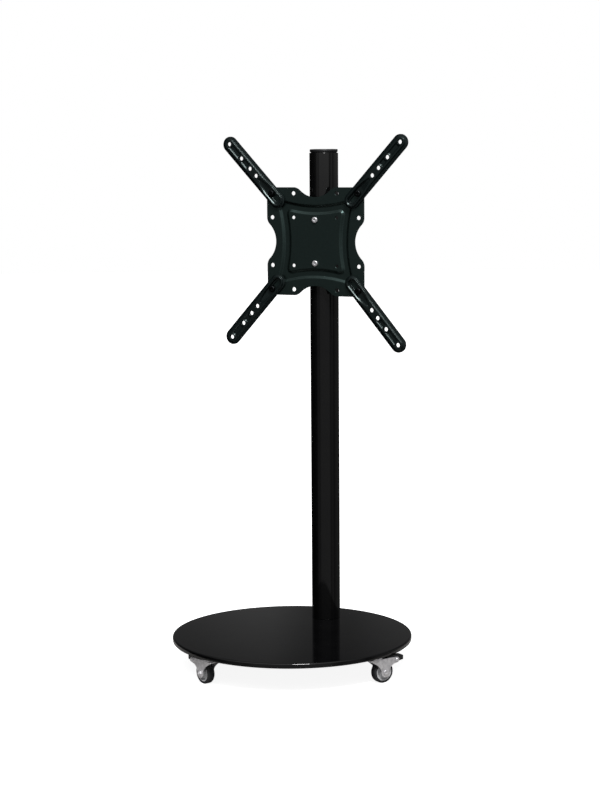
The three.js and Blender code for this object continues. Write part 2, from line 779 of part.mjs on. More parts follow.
// The pressed fork: a top with a raised bearing race over two cheeks.
function fork() {
  const half = forkInnerWidth / 2;
  const outer = half + forkSheet;
  const solids = [];
  for (const side of [-1, 1]) {
    const cheek = new THREE.ExtrudeGeometry(cheekOutline(), {
      depth: forkSheet,
      bevelEnabled: false,
      curveSegments: 3,
    });
    const offset = side > 0 ? outer : -half;
    solids.push(solid(cheek.rotateX(quarterTurn).translate(0, offset, 0)));
  }
  const nose = new THREE.Shape();
  nose.moveTo(forkRaceOuter, -outer);
  nose.lineTo(forkRaceOuter, outer);
  nose.lineTo(-forkRaceInner, outer);
  nose.quadraticCurveTo(-forkNoseReach, outer, -forkNoseReach, half - forkSheet);
  nose.lineTo(-forkNoseReach, forkSheet - half);
  nose.quadraticCurveTo(-forkNoseReach, -outer, -forkRaceInner, -outer);
  solids.push(prism(nose, forkTop - forkSheet, forkTop));
  const race = bar(forkRaceOuter, forkTop - forkSheet, forkTop + forkRaceLift, holeSides);
  const sunk = bar(forkRaceInner, forkTop, forkTop + cutOverrun, holeSides);
  const pinHole = bar(kingpinRadius + boreClearance, 0, forkTop + cutOverrun, holeSides);
  const tools = [sunk, pinHole];
  tools.push(crossBar(axleRadius + boreClearance, wheelTrail, wheelRadius, smallSides));
  tools.push(crossBar(leverPinRadius + boreClearance, leverPivotReach, leverPivotHeight, smallSides));
  const front = block(
    -forkNoseReach - cutOverrun,
    forkRaceOuter,
    -outer - cutOverrun,
    outer + cutOverrun,
    0,
    forkTop,
  );
  const noseCorner = front.subtract(prism(nose, -cutOverrun, forkTop + cutOverrun));
  return cut(join([...solids, race]), [...tools, noseCorner]);
}

// A bar along Y through both cheeks.
function crossBar(radius, x, z, sides) {
  const length = forkInnerWidth + 2 * forkSheet + 2 * cutOverrun;
  return solid(new THREE.CylinderGeometry(radius, radius, length, sides).translate(x, 0, z));
}

// Lays a piece made along +Z across the caster, with +Z becoming the side given, at x and z.
function acrossCaster(body, side, x, z, offset) {
  const turn = side > 0 ? -90 : 90;
  return body.rotate([turn, 0, 0]).translate([x, side * offset, z]);
}

// Wheel centre: hub, thin web and a rim that stands out as a ring on both faces.
function wheelCore() {
  const hubHalf = forkInnerWidth / 2 - seatGap;
  const rimHalf = coreRimWidth / 2;
  const webHalf = coreWebWidth / 2;
  const bore = axleRadius + boreClearance;
  const rimInner = coreRadius - coreRimWall;
  const profile = [
    [bore, -hubHalf],
    [coreHubRadius, -hubHalf],
    [coreHubRadius, -webHalf],
    [rimInner, -webHalf],
    [rimInner, -rimHalf],
    [coreRadius, -rimHalf],
    [coreRadius, rimHalf],
    [rimInner, rimHalf],
    [rimInner, webHalf],
    [coreHubRadius, webHalf],
    [coreHubRadius, hubHalf],
    [bore, hubHalf],
    [bore, -hubHalf],
  ];
  return acrossCaster(solid(turned(profile, wheelSides)), 1, wheelTrail, wheelRadius, 0);
}

function tyre() {
  const inner = coreRadius + seatGap;
  const half = tyreWidth / 2;
  const flat = half - tyreShoulder;
  const crown = wheelRadius - tyreShoulder;
  const profile = [
    [inner, -half],
    ...roundedCorner(crown, -flat, tyreShoulder, -quarterTurn, 0, 2),
    ...roundedCorner(crown, flat, tyreShoulder, 0, quarterTurn, 2),
    [inner, half],
    [inner, -half],
  ];
  return acrossCaster(solid(turned(profile, wheelSides)), 1, wheelTrail, wheelRadius, 0);
}

function axle() {
  const seat = forkInnerWidth / 2 + forkSheet + seatGap;
  const length = 2 * seat + axleNutHeight + axleTail;
  const screw = panScrew(
    axleRadius,
    length,
    axleHeadRadius,
    axleHeadHeight,
    axleHeadRound,
    axleSocketRadius,
    axleSocketDepth,
  );
  return acrossCaster(screw, -1, wheelTrail, wheelRadius, seat);
}

function axleNut() {
  const hex = bar(hexCorner(axleNutFlats), 0, axleNutHeight, hexSides);
  const bore = bar(axleRadius + boreClearance, -cutOverrun, axleNutHeight + cutOverrun, smallSides);
  const seat = forkInnerWidth / 2 + forkSheet + seatGap;
  return acrossCaster(hex.subtract(bore), 1, wheelTrail, wheelRadius, seat);
}

function leverPin() {
  const seat = forkInnerWidth / 2 + forkSheet + seatGap;
  const headEnd = seat + leverPinHeadHeight;
  const round = leverPinHeadRound;
  const profile = [
    [0, -headEnd],
    [leverPinHeadRadius, -headEnd],
    [leverPinHeadRadius, -seat],
    [leverPinRadius, -seat],
    [leverPinRadius, seat],
    [leverPinHeadRadius, seat],
    ...roundedCorner(leverPinHeadRadius - round, headEnd - round, round, 0, quarterTurn, 1),
    [0, headEnd],
  ];
  return acrossCaster(solid(turned(profile, smallSides)), -1, leverPivotReach, leverPivotHeight, 0);
}

// A shape in the caster's side view, seen with the trail to the right, made into a slab across it.
function slabAcross(shape, width) {
  const geometry = new THREE.ExtrudeGeometry(shape, { depth: width, bevelEnabled: false, curveSegments: 3 });
  return solid(geometry.rotateX(quarterTurn).translate(0, width / 2, 0));
}

// The brake pedal, seen from the side with its pin at zero: a shell open below, with a boss on the
// pin and a cam whose face meets the tyre when the toe is down.
function lever() {
  const width = forkInnerWidth - 2 * seatGap;
  const top = leverPivotDrop + leverLift;
  const toWheel = new THREE.Vector2(wheelTrail - leverPivotReach, wheelRadius - leverPivotHeight);
  const camReach = toWheel.length() - wheelRadius - seatGap;
  const along = toWheel.clone().normalize();
  const camTip = along.clone().multiplyScalar(camReach);
  const camBack = camTip.clone().add(new THREE.Vector2(along.y, -along.x).multiplyScalar(leverCamHeel));
  const outline = new THREE.Shape();
  outline.moveTo(leverToeReach, top);
  outline.lineTo(-leverTailReach, top);
  outline.lineTo(-leverTailReach, top - leverSheet);
  outline.lineTo(camBack.x, camBack.y);
  outline.lineTo(camTip.x, camTip.y);
  outline.absarc(0, 0, leverBossRadius, -quarterTurn, -quarterTurn / 2);
  outline.lineTo(leverToeReach, top - leverToeDepth);
  const cam = new THREE.Shape();
  cam.moveTo(camBack.x, camBack.y);
  cam.lineTo(camTip.x, camTip.y);
  cam.absarc(0, 0, leverBossRadius, -quarterTurn, quarterTurn);
  const inside = width - 2 * leverSheet;
  const below = block(
    -leverTailReach - cutOverrun,
    leverToeReach - leverSheet,
    -inside / 2,
    inside / 2,
    -leverTailReach,
    top - leverSheet,
  );
  const hollow = below.subtract(slabAcross(cam, width));
  const bore = new THREE.CylinderGeometry(
    leverPinRadius + boreClearance,
    leverPinRadius + boreClearance,
    forkInnerWidth,
    smallSides,
  );
  const plan = prism(pedalPlan(width), -leverTailReach, leverTailReach);
  const pedal = slabAcross(outline, width).intersect(plan);
  return cut(pedal, [hollow, solid(bore)]).translate([leverPivotReach, 0, leverPivotHeight]);
}

// The pedal seen from above: square at the tail, rounded at the toe.
function pedalPlan(width) {
  const half = width / 2;
  const round = leverToeRound;
  const tail = -leverTailReach - cutOverrun;
  const shape = new THREE.Shape();
  shape.moveTo(tail, -half);
  shape.lineTo(leverToeReach - round, -half);
  shape.quadraticCurveTo(leverToeReach, -half, leverToeReach, round - half);
  shape.lineTo(leverToeReach, half - round);
  shape.quadraticCurveTo(leverToeReach, half, leverToeReach - round, half);
  shape.lineTo(tail, half);
  return shape;
}

// Puts a mesh or group at a place.
function placed(object, x, y, z) {
  object.position.set(x, y, z);
  return object;
}

function footGroup() {
  const group = new THREE.Group();
  group.add(placed(named('pole_tube', poleTube(), 'glossBlack'), 0, poleSetback, 0));
  group.add(named('pole_foot_plug', footPlug(), 'zinc'));
  group.add(placed(named('pole_end_cap', endCap(), 'blackPlastic'), 0, poleSetback, 0));
  for (let i = 0; i < footScrewCount; i += 1) {
    const [x, y] = footScrewPlace(i);
    group.add(placed(named(`pole_foot_screw_${i + 1}`, footScrew(), 'zinc'), x, y, 0));
  }
  return group;
}

// Everything bolted to the front of the pole. Its own +Z points to the screen, +Y up.
function panelGroup() {
  const panel = new THREE.Group();
  panel.position.set(0, poleSetback - plateStandoff, plateHeight);
  panel.rotation.x = quarterTurn;
  panel.add(named('plate_saddle', saddle(), 'black'));
  panel.add(named('screen_plate', screenPlate(), 'satinBlack'));
  for (const [word, side] of [['upper', 1], ['lower', -1]]) {
    const y = side * centreScrewSpan / 2;
    panel.add(placed(named(`centre_screw_${word}`, centreScrew(), 'zinc'), 0, y, seatGap));
    const nutSeat = poleRadius + seatGap - plateStandoff;
    panel.add(placed(named(`rivet_nut_${word}`, rivetNut(), 'zinc'), 0, y, nutSeat));
  }
  for (const [corner, [x, y]] of Object.entries(armCorners)) {
    const pivot = new THREE.Group();
    const lean = Math.sign(y) * armAngles[corner];
    pivot.position.set(x, y, 0);
    pivot.rotation.z = x > 0 ? lean : halfTurn - lean;
    pivot.add(placed(named(`arm_${corner}`, arm(), 'black'), 0, 0, seatGap));
    const screw = named(`pivot_screw_${corner}`, pivotScrew(), 'blackScrew');
    const nut = named(`pivot_nut_${corner}`, flangeNut(), 'zinc');
    pivot.add(placed(screw, 0, 0, armSheet + 2 * seatGap));
    pivot.add(placed(nut, 0, 0, -plateSheet - seatGap));
    panel.add(pivot);
  }
  return panel;
}

function casterGroup(index) {
  const group = new THREE.Group();
  const [x, y] = casterPlace(index);
  const label = `caster_${index + 1}`;
  group.position.set(x, y, 0);
  group.rotation.z = casterTrailAngles[index] * Math.PI / 180;
  group.add(named(`${label}_stem`, casterStem(), 'zinc'));
  group.add(named(`${label}_fork`, fork(), 'zinc'));
  group.add(named(`${label}_wheel_core`, wheelCore(), 'core'));
  group.add(named(`${label}_tyre`, tyre(), 'tyre'));
  group.add(named(`${label}_axle`, axle(), 'zinc'));
  group.add(named(`${label}_axle_nut`, axleNut(), 'zinc'));
  group.add(named(`${label}_brake_lever`, lever(), 'blackPlastic'));
  group.add(named(`${label}_lever_pin`, leverPin(), 'zinc'));
  return group;
}

const stand = new THREE.Group();
stand.add(named('base_plate', basePlate(), 'glossBlack'));
stand.add(footGroup());
stand.add(panelGroup());
for (let i = 0; i < casterCount; i += 1) stand.add(casterGroup(i));

export default stand;
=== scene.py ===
"""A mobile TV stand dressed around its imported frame: gloss powder-coated base and pole, stamped and
coated screen plate with four arms, and four braked casters of zinc-plated steel.

Sizes are in millimetres and turned into metres when a piece is placed."""

import math

import bmesh
import bpy
from mathutils import Matrix, Vector


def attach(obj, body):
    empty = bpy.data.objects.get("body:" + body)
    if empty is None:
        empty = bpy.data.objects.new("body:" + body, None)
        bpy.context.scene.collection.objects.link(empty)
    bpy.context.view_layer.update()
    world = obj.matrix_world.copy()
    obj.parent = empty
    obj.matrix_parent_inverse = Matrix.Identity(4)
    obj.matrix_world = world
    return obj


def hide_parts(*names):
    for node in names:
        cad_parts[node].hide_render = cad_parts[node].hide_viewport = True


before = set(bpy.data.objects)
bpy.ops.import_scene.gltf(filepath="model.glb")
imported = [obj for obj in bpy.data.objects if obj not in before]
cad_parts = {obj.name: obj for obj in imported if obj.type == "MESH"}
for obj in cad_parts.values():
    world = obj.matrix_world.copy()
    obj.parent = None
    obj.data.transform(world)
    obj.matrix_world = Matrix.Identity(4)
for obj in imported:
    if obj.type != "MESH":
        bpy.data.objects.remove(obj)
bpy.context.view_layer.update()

MM = 0.001
UP = Vector((0, 0, 1))
QUARTER = math.pi / 2

# Two points nearer than this are one
SAME = 0.001

# Air left between two pieces that sit against each other
SEAT = 0.3

# Softening of a drilled rim
HOLE_ROLL = 0.3

# Base
RIDE_HEIGHT = 54
BASE_RADIUS = 247.5
BASE_TOP = 64
BASE_EDGE_ROUND = 3
BASE_LOWER_ROUND = 1

# Pole, its end cap, and the screws that hold its foot from under the base
POLE_SETBACK = 159
POLE_RADIUS = 30
POLE_INNER_RADIUS = 28
POLE_BOTTOM = 64.3
POLE_TOP = 1052.3
CAP_RADIUS = 29.2
CAP_HEIGHT = 7.4
CAP_UNDERCUT = 2.4
CAP_SKIRT_DEPTH = 16
CAP_SKIRT_RADIUS = 27.6
CAP_SKIRT_WALL = 2.2
FOOT_BOLT_CIRCLE = 17
FOOT_HEAD_RADIUS = 7.8
FOOT_HEAD_SUNK = 0.5
FOOT_HEAD_CONE = 4.4
FOOT_SOCKET_RIM = 4.4
FOOT_SCREW_RADIUS = 4
FOOT_SCREW_LENGTH = 21

# Screen plate, in the panel's own frame: front face at zero, +Y up, +Z towards the screen
PLATE_FRONT = 116.5
PLATE_HEIGHT = 869
PLATE_STANDOFF = 42.5
PLATE_SHEET = 2.5
PLATE_HALF = 112.5
PLATE_CORNER = 11.5
PITCH_WIDE = 100
PITCH_NARROW = 50
FLANGE_HOLE = 4.35
INNER_HOLE = 3.6
SCREW_CLEAR = 4.3
CENTRE_SCREW_PLACE = 45
SADDLE_HALF_WIDTH = 19
SADDLE_HALF_HEIGHT = 52

# Scalloped sides: radius of the hollow and of its lips, then depth and flank angle
SCALLOP_RADIUS = 50
SCALLOP_LIP = 21
SCALLOP_TOP = (20.4, math.radians(40))
SCALLOP_SIDE = (20.9, math.radians(45))

# Pressed groove: each outline by the middle of its side, its corner and its rounding, and each wall by
# where it starts from the outline, minus being away from the groove, and how wide it runs
GROOVE_DEPTH = 4
GROOVE_OUTER = (73.5, 82, 14)
GROOVE_OUTER_WALL = (-3.8, 8)
GROOVE_INNER = (58.3, 63.5, 12)
GROOVE_INNER_WALL = (-4, 8)

# Arms, along their own axis from the pivot
SLOT_TRAVEL = 20
ARM_SHEET = 2.5
ARM_BEND = 0.8
ARM_HALF = 16.5
ARM_INNER = -SLOT_TRAVEL - ARM_HALF
ARM_HOLE = 4.5
ARM_HOLES = (50, 70.71, 100, 141.42)
ARM_OUTER = ARM_HOLES[-1] + 15.6
ARM_SHOULDER = 5.5
SHOULDER_WIDTH = 4.8
SHOULDER_FALL = 1.5
CROWN_LIFT = 2.6
CROWN_TOP = ARM_SHOULDER + CROWN_LIFT
CROWN_WIDE = 12.8
CROWN_RUN = 10.2
CROWN_WIDE_TO = 8
CROWN_RUN_FROM = 36
POCKET_WIDE = 7.8
POCKET_WIDE_TO = 6
POCKET_TIP = 2.3
POCKET_TIP_AT = 38
POCKET_TAPER = 1.4
POCKET_FLAT_TO = 13
RAMP_TO = 34
WINDOW_HALF = 4.6
WINDOW_END = 8.2
WINDOW_EASE = 1.2
WINDOWS = (ARM_HOLES[1:3], ARM_HOLES[2:4])
ARM_DIRECTIONS = {"upper_left": 133.5, "upper_right": 47.2, "lower_left": 227.6, "lower_right": -49.7}

# Pressed walls of the arms, as distance outside the outline and share of the height. Their slopes
# decide where the light catches them.
CROWN_CLIMB = ((1.2, 0), (0.95, 0.06), (0.5, 0.46), (-0.25, 0.69), (-0.6, 0.92), (-1, 0.985), (-1.5, 1))
POCKET_DROP = ((2, 1), (1.7, 0.97), (0.3, 0.77), (-0.3, 0.2), (-0.55, 0.05), (-0.8, 0))
WINDOW_DROP = ((1.5, 1), (1.2, 0.95), (0.9, 0.86), (-0.2, 0.5), (-0.7, 0.12), (-1, 0.03), (-1.4, 0))

# Where the arm's outlines have their points: close together where they bend
ARM_STATIONS = (-10, 0, 8, 11, 14, 17, 20, 23, 26, 29, 32, 36, 50, 70, 90, 110, 128)
POCKET_STATIONS = (-10, 0, 6, 9, POCKET_FLAT_TO, 16, 19, 22, 25, 28, 31, RAMP_TO, 36)
SHOULDER_SHARES = (0, 0.2, 0.4, 0.6, 0.8)

# Casters, from the swivel axis, +X towards the trailing side
CASTER_CIRCLE = 231
CASTER_FIRST = -17.5
CASTER_TRAILS = (60, 335, 240, 155)
WHEEL_RADIUS = 22.5
WHEEL_TRAIL = 18
TYRE_HALF = 8.5
TYRE_SHOULDER = 4.2
CORE_RADIUS = 17.6
FORK_HALF = 11
FORK_SHEET = 2
FORK_OUTER = FORK_HALF + FORK_SHEET
FORK_TOP = 50.8
FORK_NOSE = 19
FORK_NOSE_CORNER = 7
FORK_EAR = 9.6
FORK_RACE_OUTER = 15
FORK_RACE_INNER = 11
FORK_RACE_LIFT = 1.4
FORK_CREASE_AT = 12.5
FORK_CREASE_LIFT = 0.9
PEDAL_PIN_AT = 46
PEDAL_PIN_HEIGHT = 45
FORK_TAIL = PEDAL_PIN_AT + 6
PEDAL_TOE = 19
PEDAL_TOE_ROUND = 4.5
PEDAL_TAIL = 21
PEDAL_TOP = 6.2
PEDAL_DEPTH = 8.4
PEDAL_SHEET = 2.4
PEDAL_CAM = (-10.2, -8.2)

# Camera at the photograph's place, as found from the screen plate's hole pattern. It sees as far as
# SEES_TO, in metres.
CAMERA_PLACE = (1801.4, -3473.3, 1041.7)
CAMERA_YAW = math.radians(27.127)
CAMERA_PITCH = math.radians(7.148)
CAMERA_ROLL = math.radians(-0.398)
FOCAL_SHARE = 1929.3 / 800
SENSOR_HEIGHT = 24
SEES_TO = 60

# Floor: out to here it takes the shadow and shows in polished pieces, and there it ends
FLOOR_NEAR = 420
FLOOR_FAR = 14000

# Key light, in metres and watts: high in front, a little to the camera's right, aimed at the plate
KEY_PLACE = (1.7, -2.16, 4.1)
KEY_TARGET = (0, 0, 0.95)
KEY_SIDE = 1.0
KEY_POWER = 205

# Brightness of the room near the horizon, by degrees to the right of the camera as the stand sees it
HORIZON = (
    (-180, 0.02), (-115, 0.0), (-85, 0.01), (-68, 0.03), (-59, 0.13), (-50, 0.13), (-43, 0.1),
    (-36, 0.22), (36, 0.23), (43, 0.09), (50, 0.1), (56, 0.14), (66, 0.14), (76, 0.04), (88, 0.11),
    (118, 0.1), (136, 0.04), (180, 0.02),
)

# Brightness of the soft light overhead, by degrees to the right of the camera
CEILING = ((-180, 0.1), (-105, 0.2), (-75, 0.9), (60, 0.9), (90, 0.2), (180, 0.1))

# Share of the light straight behind the stand, by thousandths to the right, as the base mirrors it
BACKDROP = ((-60, 0.68), (-26, 1.0), (-15, 1.0), (0, 0.62), (12, 0.45), (25, 0.43), (40, 0.68), (60, 0.92))

# How each light grows or fades: from one strength to another, between two heights from level (0) to
# straight up (1). The backdrop's sides go by how squarely a direction points away from the camera.
HORIZON_FOOT = (0, 1, -0.5, -0.28)
HORIZON_RISE = (1, 2.6, -0.05, 0.02)
HORIZON_FADE = (1, 0.2, 0.06, 0.25)
BACKDROP_SIDES = (0, 1, -0.3, -0.7)
BACKDROP_FOOT = (0, 1, 0.0, 0.05)
BACKDROP_FADE = (0.14, 0.03, 0.215, 0.275)
CEILING_EDGE = (0, 1, 0.45, 0.8)


# Outlines

def arc(centre, radius, start, end, steps):
    """Points on an arc, both ends included, angles in radians."""
    x, y = centre
    angles = [start + (end - start) / steps * i for i in range(steps + 1)]
    return [Vector((x + radius * math.cos(angle), y + radius * math.sin(angle))) for angle in angles]


def circle(radius, steps, x=0, y=0):
    return arc((x, y), radius, 0, math.tau, steps)[:-1]


def hexagon(radius):
    return circle(radius, 6)


def curve(first, pull, last, steps):
    """Points on a quadratic curve, without its last point."""
    shares = [i / steps for i in range(steps)]
    return [first * (1 - t) ** 2 + pull * 2 * t * (1 - t) + last * t ** 2 for t in shares]


def rounded(corners, steps=4):
    """A closed outline from (x, y, radius) corners, in order."""
    points = []
    count = len(corners)
    for i, (x, y, radius) in enumerate(corners):
        here = Vector((x, y))
        if radius == 0:
            points.append(here)
            continue
        before = (Vector(corners[i - 1][:2]) - here).normalized()
        after = (Vector(corners[(i + 1) % count][:2]) - here).normalized()
        half = before.angle(after) / 2
        centre = here + (before + after).normalized() * radius / math.sin(half)
        reach = radius / math.tan(half)
        start = here + before * reach - centre
        swing = start.angle_signed(here + after * reach - centre)
        for k in range(steps + 1):
            spoke = start.copy()
            spoke.rotate(Matrix.Rotation(-swing * k / steps, 2))
            points.append(centre + spoke)
    return points


def inset(points, distance):
    """A closed outline drawn in to its left, which is inwards when it runs counterclockwise."""
    moved = []
    for before, here, after in zip(points[-1:] + points[:-1], points, points[1:] + points[:1]):
        into = (here - before).normalized()
        out = (after - here).normalized()
        left = Vector((-into.y - out.y, into.x + out.x)).normalized()
        moved.append(here + left * distance / left.dot(Vector((-into.y, into.x))))
    return moved


def softened(points):
    """Cuts every corner of a closed outline twice, a quarter of the way along its sides."""
    for _ in range(2):
        pairs = zip(points, points[1:] + points[:1])
        points = [p for here, after in pairs for p in (here.lerp(after, 0.25), here.lerp(after, 0.75))]
    return points


def clamped(share):
    return min(1, max(0, share))


def eased(share):
    """A share that starts and ends gently."""
    share = clamped(share)
    return share * share * (3 - 2 * share)


def pressed(share):
    """Like eased, with a steeper middle and softer ends."""
    return share ** 3 * (share * (6 * share - 15) + 10)


# Mesh work: closed loops of edges, bridged and filled

def ring(bm, points, height):
    """A closed loop of edges at a height, or at height(point) where the height follows a rule."""
    at = height if callable(height) else lambda point: height
    corners = [bm.verts.new((p.x, p.y, at(p))) for p in points]
    return [bm.edges.new((a, b)) for a, b in zip(corners, corners[1:] + corners[:1])]


def fill(bm, *loops):
    """Fills the flat ground inside the first loop and outside the others."""
    edges = [edge for loop in loops for edge in loop]
    bmesh.ops.triangle_fill(bm, use_beauty=True, use_dissolve=False, edges=edges, normal=UP)


def bridge(bm, rings):
    """Joins rings in turn: level ground between two of them is filled, anything else is bridged."""
    for lower, upper in zip(rings, rings[1:]):
        heights = [edge.verts[0].co.z for edge in lower + upper]
        if max(heights) - min(heights) < SAME:
            fill(bm, lower, upper)
        else:
            bmesh.ops.bridge_loops(bm, edges=lower + upper)


def stacked(bm, levels):
    """Rings from (points, height) pairs, bridged in turn. Returns all the rings."""
    rings = [ring(bm, points, height) for points, height in levels]
    bridge(bm, rings)
    return rings


def across(bm, loop, x):
    """An edge across a loop, between the two points that it has at x."""
    ends = {v for edge in loop for v in edge.verts if abs(v.co.x - x) < SAME}
    return bm.edges.new(tuple(ends))


def part_of(loop, low, high):
    """The edges of a loop whose middles lie between low and high."""
    return [e for e in loop if low < (e.verts[0].co.x + e.verts[1].co.x) / 2 < high]


def spun(profile, steps, closed=False):
    """A profile of (radius, height, rounding) corners turned about Z. One that isn't closed has no
    rounding at its two ends."""
    bm = bmesh.new()
    points = rounded(profile, 4 if closed else 3)
    verts = [bm.verts.new((p.x, 0, p.y)) for p in points]
    pairs = list(zip(verts, verts[1:]))
    if closed:
        pairs.append((verts[-1], verts[0]))
    edges = [bm.edges.new(pair) for pair in pairs]
    bmesh.ops.spin(
        bm, geom=verts + edges, cent=(0, 0, 0), axis=UP, dvec=(0, 0, 0), angle=math.tau, steps=steps,
        use_merge=True, use_duplicate=False,
    )
    bmesh.ops.remove_doubles(bm, verts=bm.verts, dist=SAME)
    return bm


def soften_rims(bm, radius):
    """Rounds the edges where the two flat faces of a slab turn down its side."""
    level = [e for e in bm.edges if abs(e.verts[0].co.z - e.verts[1].co.z) < SAME]
    rims = [e for e in level if e.calc_face_angle(0) > 1]
    bmesh.ops.bevel(
        bm, geom=rims, offset=radius, affect="EDGES", segments=2, profile=0.5, material=-1,
        clamp_overlap=True,
    )


def slab(outline, low, high, edge=0):
    """An outline pushed up from low to high, with its rims rounded."""
    bm = bmesh.new()
    base = bm.faces.new([bm.verts.new((p.x, p.y, low)) for p in outline])
    pushed = bmesh.ops.extrude_face_region(bm, geom=[base], use_keep_orig=True)["geom"]
    upper = [part for part in pushed if isinstance(part, bmesh.types.BMVert)]
    bmesh.ops.translate(bm, verts=upper, vec=UP * (high - low))
    if edge:
        soften_rims(bm, edge)
    return bm


def joined(target, *others):
    """Adds the shells of other meshes to the first one."""
    for other in others:
        spare = bpy.data.meshes.new("spare")
        other.to_mesh(spare)
        target.from_mesh(spare)
        bpy.data.meshes.remove(spare)
        other.free()
    return target


def turned(bm, matrix):
    bmesh.ops.transform(bm, matrix=matrix, verts=bm.verts)
    return bm


# Stands an outline up: its second direction becomes height, its thickness goes along the third
SIDE_ON = Matrix(((1, 0, 0, 0), (0, 0, 1, 0), (0, 1, 0, 0), (0, 0, 0, 1)))


def on_side(bm, x, z, side=1, offset=0):
    """Lays a piece made along +Z across a caster, with its +Z to the side given."""
    lay = Matrix.Rotation(-side * QUARTER, 4, "X")
    return turned(bm, Matrix.Translation((x, side * offset, z)) @ lay)


def in_metres(name, bm, finish):
    """An object at the origin with this mesh, brought to metres, and its material."""
    turned(bm, Matrix.Scale(MM, 4))
    mesh = bpy.data.meshes.new(name)
    bm.to_mesh(mesh)
    bm.free()
    mesh.materials.append(finish)
    made = bpy.data.objects.new(name, mesh)
    bpy.context.scene.collection.objects.link(made)
    return made


def put(name, bm, place, finish, body, node, crisp=32):
    """Makes a mesh into a finished piece that stands for a node and moves with a body. Edges that
    turn by more than crisp degrees stay sharp."""
    bmesh.ops.remove_doubles(bm, verts=bm.verts, dist=SAME)
    turned(bm, place)
    bmesh.ops.recalc_face_normals(bm, faces=bm.faces)
    piece = in_metres(name, bm, finish)
    piece.data.shade_smooth()
    piece.data.set_sharp_from_angle(angle=math.radians(crisp))
    weighted = piece.modifiers.new("flat faces stay flat", "WEIGHTED_NORMAL")
    weighted.keep_sharp = True
    weighted.weight = 100
    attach(piece, body)
    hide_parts(node)


# Materials

def colour(hex_value):
    """An sRGB hex colour as linear red, green, blue and alpha."""
    channels = [int(hex_value[i:i + 2], 16) / 255 for i in (1, 3, 5)]
    linear = [c / 12.92 if c <= 0.04045 else ((c + 0.055) / 1.055) ** 2.4 for c in channels]
    return (*linear, 1)


def add(tree, kind, settings=None, **links):
    """Adds a node, sets its fields or sockets, and links sockets given as Name=source."""
    new = tree.nodes.new(kind)
    for key, value in (settings or {}).items():
        if isinstance(key, int) or key in new.inputs:
            new.inputs[key].default_value = value
        else:
            setattr(new, key, value)
    for key, source in links.items():
        tree.links.new(source, new.inputs[key])
    return new


def new_finish(name, settings):
    """A material with its shader set, and the coordinates of its piece."""
    made = bpy.data.materials.new(name)
    made.use_nodes = True
    tree = made.node_tree
    shader = tree.nodes["Principled BSDF"]
    for key, value in settings.items():
        shader.inputs[key].default_value = value
    where = add(tree, "ShaderNodeTexCoord").outputs["Object"]
    return made, tree, shader, where


def noise(tree, where, grain_mm, detail):
    """Noise whose features are about grain_mm across."""
    settings = {"Scale": 1 / (grain_mm * MM), "Detail": detail}
    return add(tree, "ShaderNodeTexNoise", settings, Vector=where).outputs["Fac"]


def spread(tree, source, low, high, start=0.3, end=0.7):
    """Stretches start..end, where most of a noise lies, to low..high."""
    settings = {"From Min": start, "From Max": end, "To Min": low, "To Max": high}
    return add(tree, "ShaderNodeMapRange", settings, Value=source).outputs["Result"]


# The mix node has a set of sockets for each type of value. These are its colours.
MIX_FIRST, MIX_SECOND = 6, 7
MIX_COLOUR = 2


def tinted(tree, share, first, second):
    """A colour between two, by a share from 0 to 1."""
    settings = {"data_type": "RGBA", MIX_FIRST: colour(first), MIX_SECOND: colour(second)}
    return add(tree, "ShaderNodeMix", settings, Factor=share).outputs[MIX_COLOUR]


def coloured(tree, shader, pattern, dark, light, start=0.3, end=0.7):
    """Lets a pattern take the surface from one colour to the other."""
    share = spread(tree, pattern, 0, 1, start, end)
    tree.links.new(tinted(tree, share, dark, light), shader.inputs["Base Color"])


def roughened(tree, shader, pattern, low, high):
    """Lets a pattern take the surface from one roughness to the other."""
    tree.links.new(spread(tree, pattern, low, high), shader.inputs["Roughness"])


def bumped(tree, shader, pattern, depth_mm, strength=1.0):
    """Raises a pattern by depth_mm, at a share of its full strength."""
    bump = add(tree, "ShaderNodeBump", {"Strength": strength, "Distance": depth_mm * MM}, Height=pattern)
    tree.links.new(bump.outputs["Normal"], shader.inputs["Normal"])


def gloss_powder_coat(name, dark, light, rough_low, rough_high, peel_mm):
    """Sprayed polyester powder: a hard gloss film with the slow waves of orange peel."""
    made, tree, shader, where = new_finish(name, {"Metallic": 0.0, "IOR": 1.5})
    coloured(tree, shader, noise(tree, where, grain_mm=60, detail=3), dark, light)
    roughened(tree, shader, noise(tree, where, grain_mm=25, detail=4), rough_low, rough_high)
    bumped(tree, shader, noise(tree, where, grain_mm=peel_mm, detail=1), depth_mm=0.004)
    return made


def fine_texture_coat():
    """Fine-textured powder: small hard grains that break up the gloss, with a cool green-black tint.
    The grains are drawn about twice their real size so that they show."""
    made, tree, shader, where = new_finish("fine_texture_powder_coat", {
        "Metallic": 0.0, "IOR": 1.5, "Specular IOR Level": 0.76, "Specular Tint": colour("#d2faf5"),
    })
    grain = noise(tree, where, grain_mm=0.7, detail=3)
    coloured(tree, shader, grain, "#030605", "#090f0e")
    roughened(tree, shader, noise(tree, where, grain_mm=9, detail=3), 0.35, 0.42)
    bumped(tree, shader, grain, depth_mm=0.03, strength=0.6)
    return made


def satin_coat():
    """Satin powder on the stamped arms: smoother than the plate's, so that pressed edges catch light."""
    made, tree, shader, where = new_finish("satin_powder_coat", {
        "Metallic": 0.0, "IOR": 1.5, "Specular IOR Level": 0.42, "Specular Tint": colour("#e6fbf9"),
    })
    coloured(tree, shader, noise(tree, where, grain_mm=0.5, detail=2), "#070c0d", "#0f1616")
    roughened(tree, shader, noise(tree, where, grain_mm=6, detail=3), 0.26, 0.31)
    bumped(tree, shader, noise(tree, where, grain_mm=5, detail=2), depth_mm=0.004, strength=0.3)
    return made


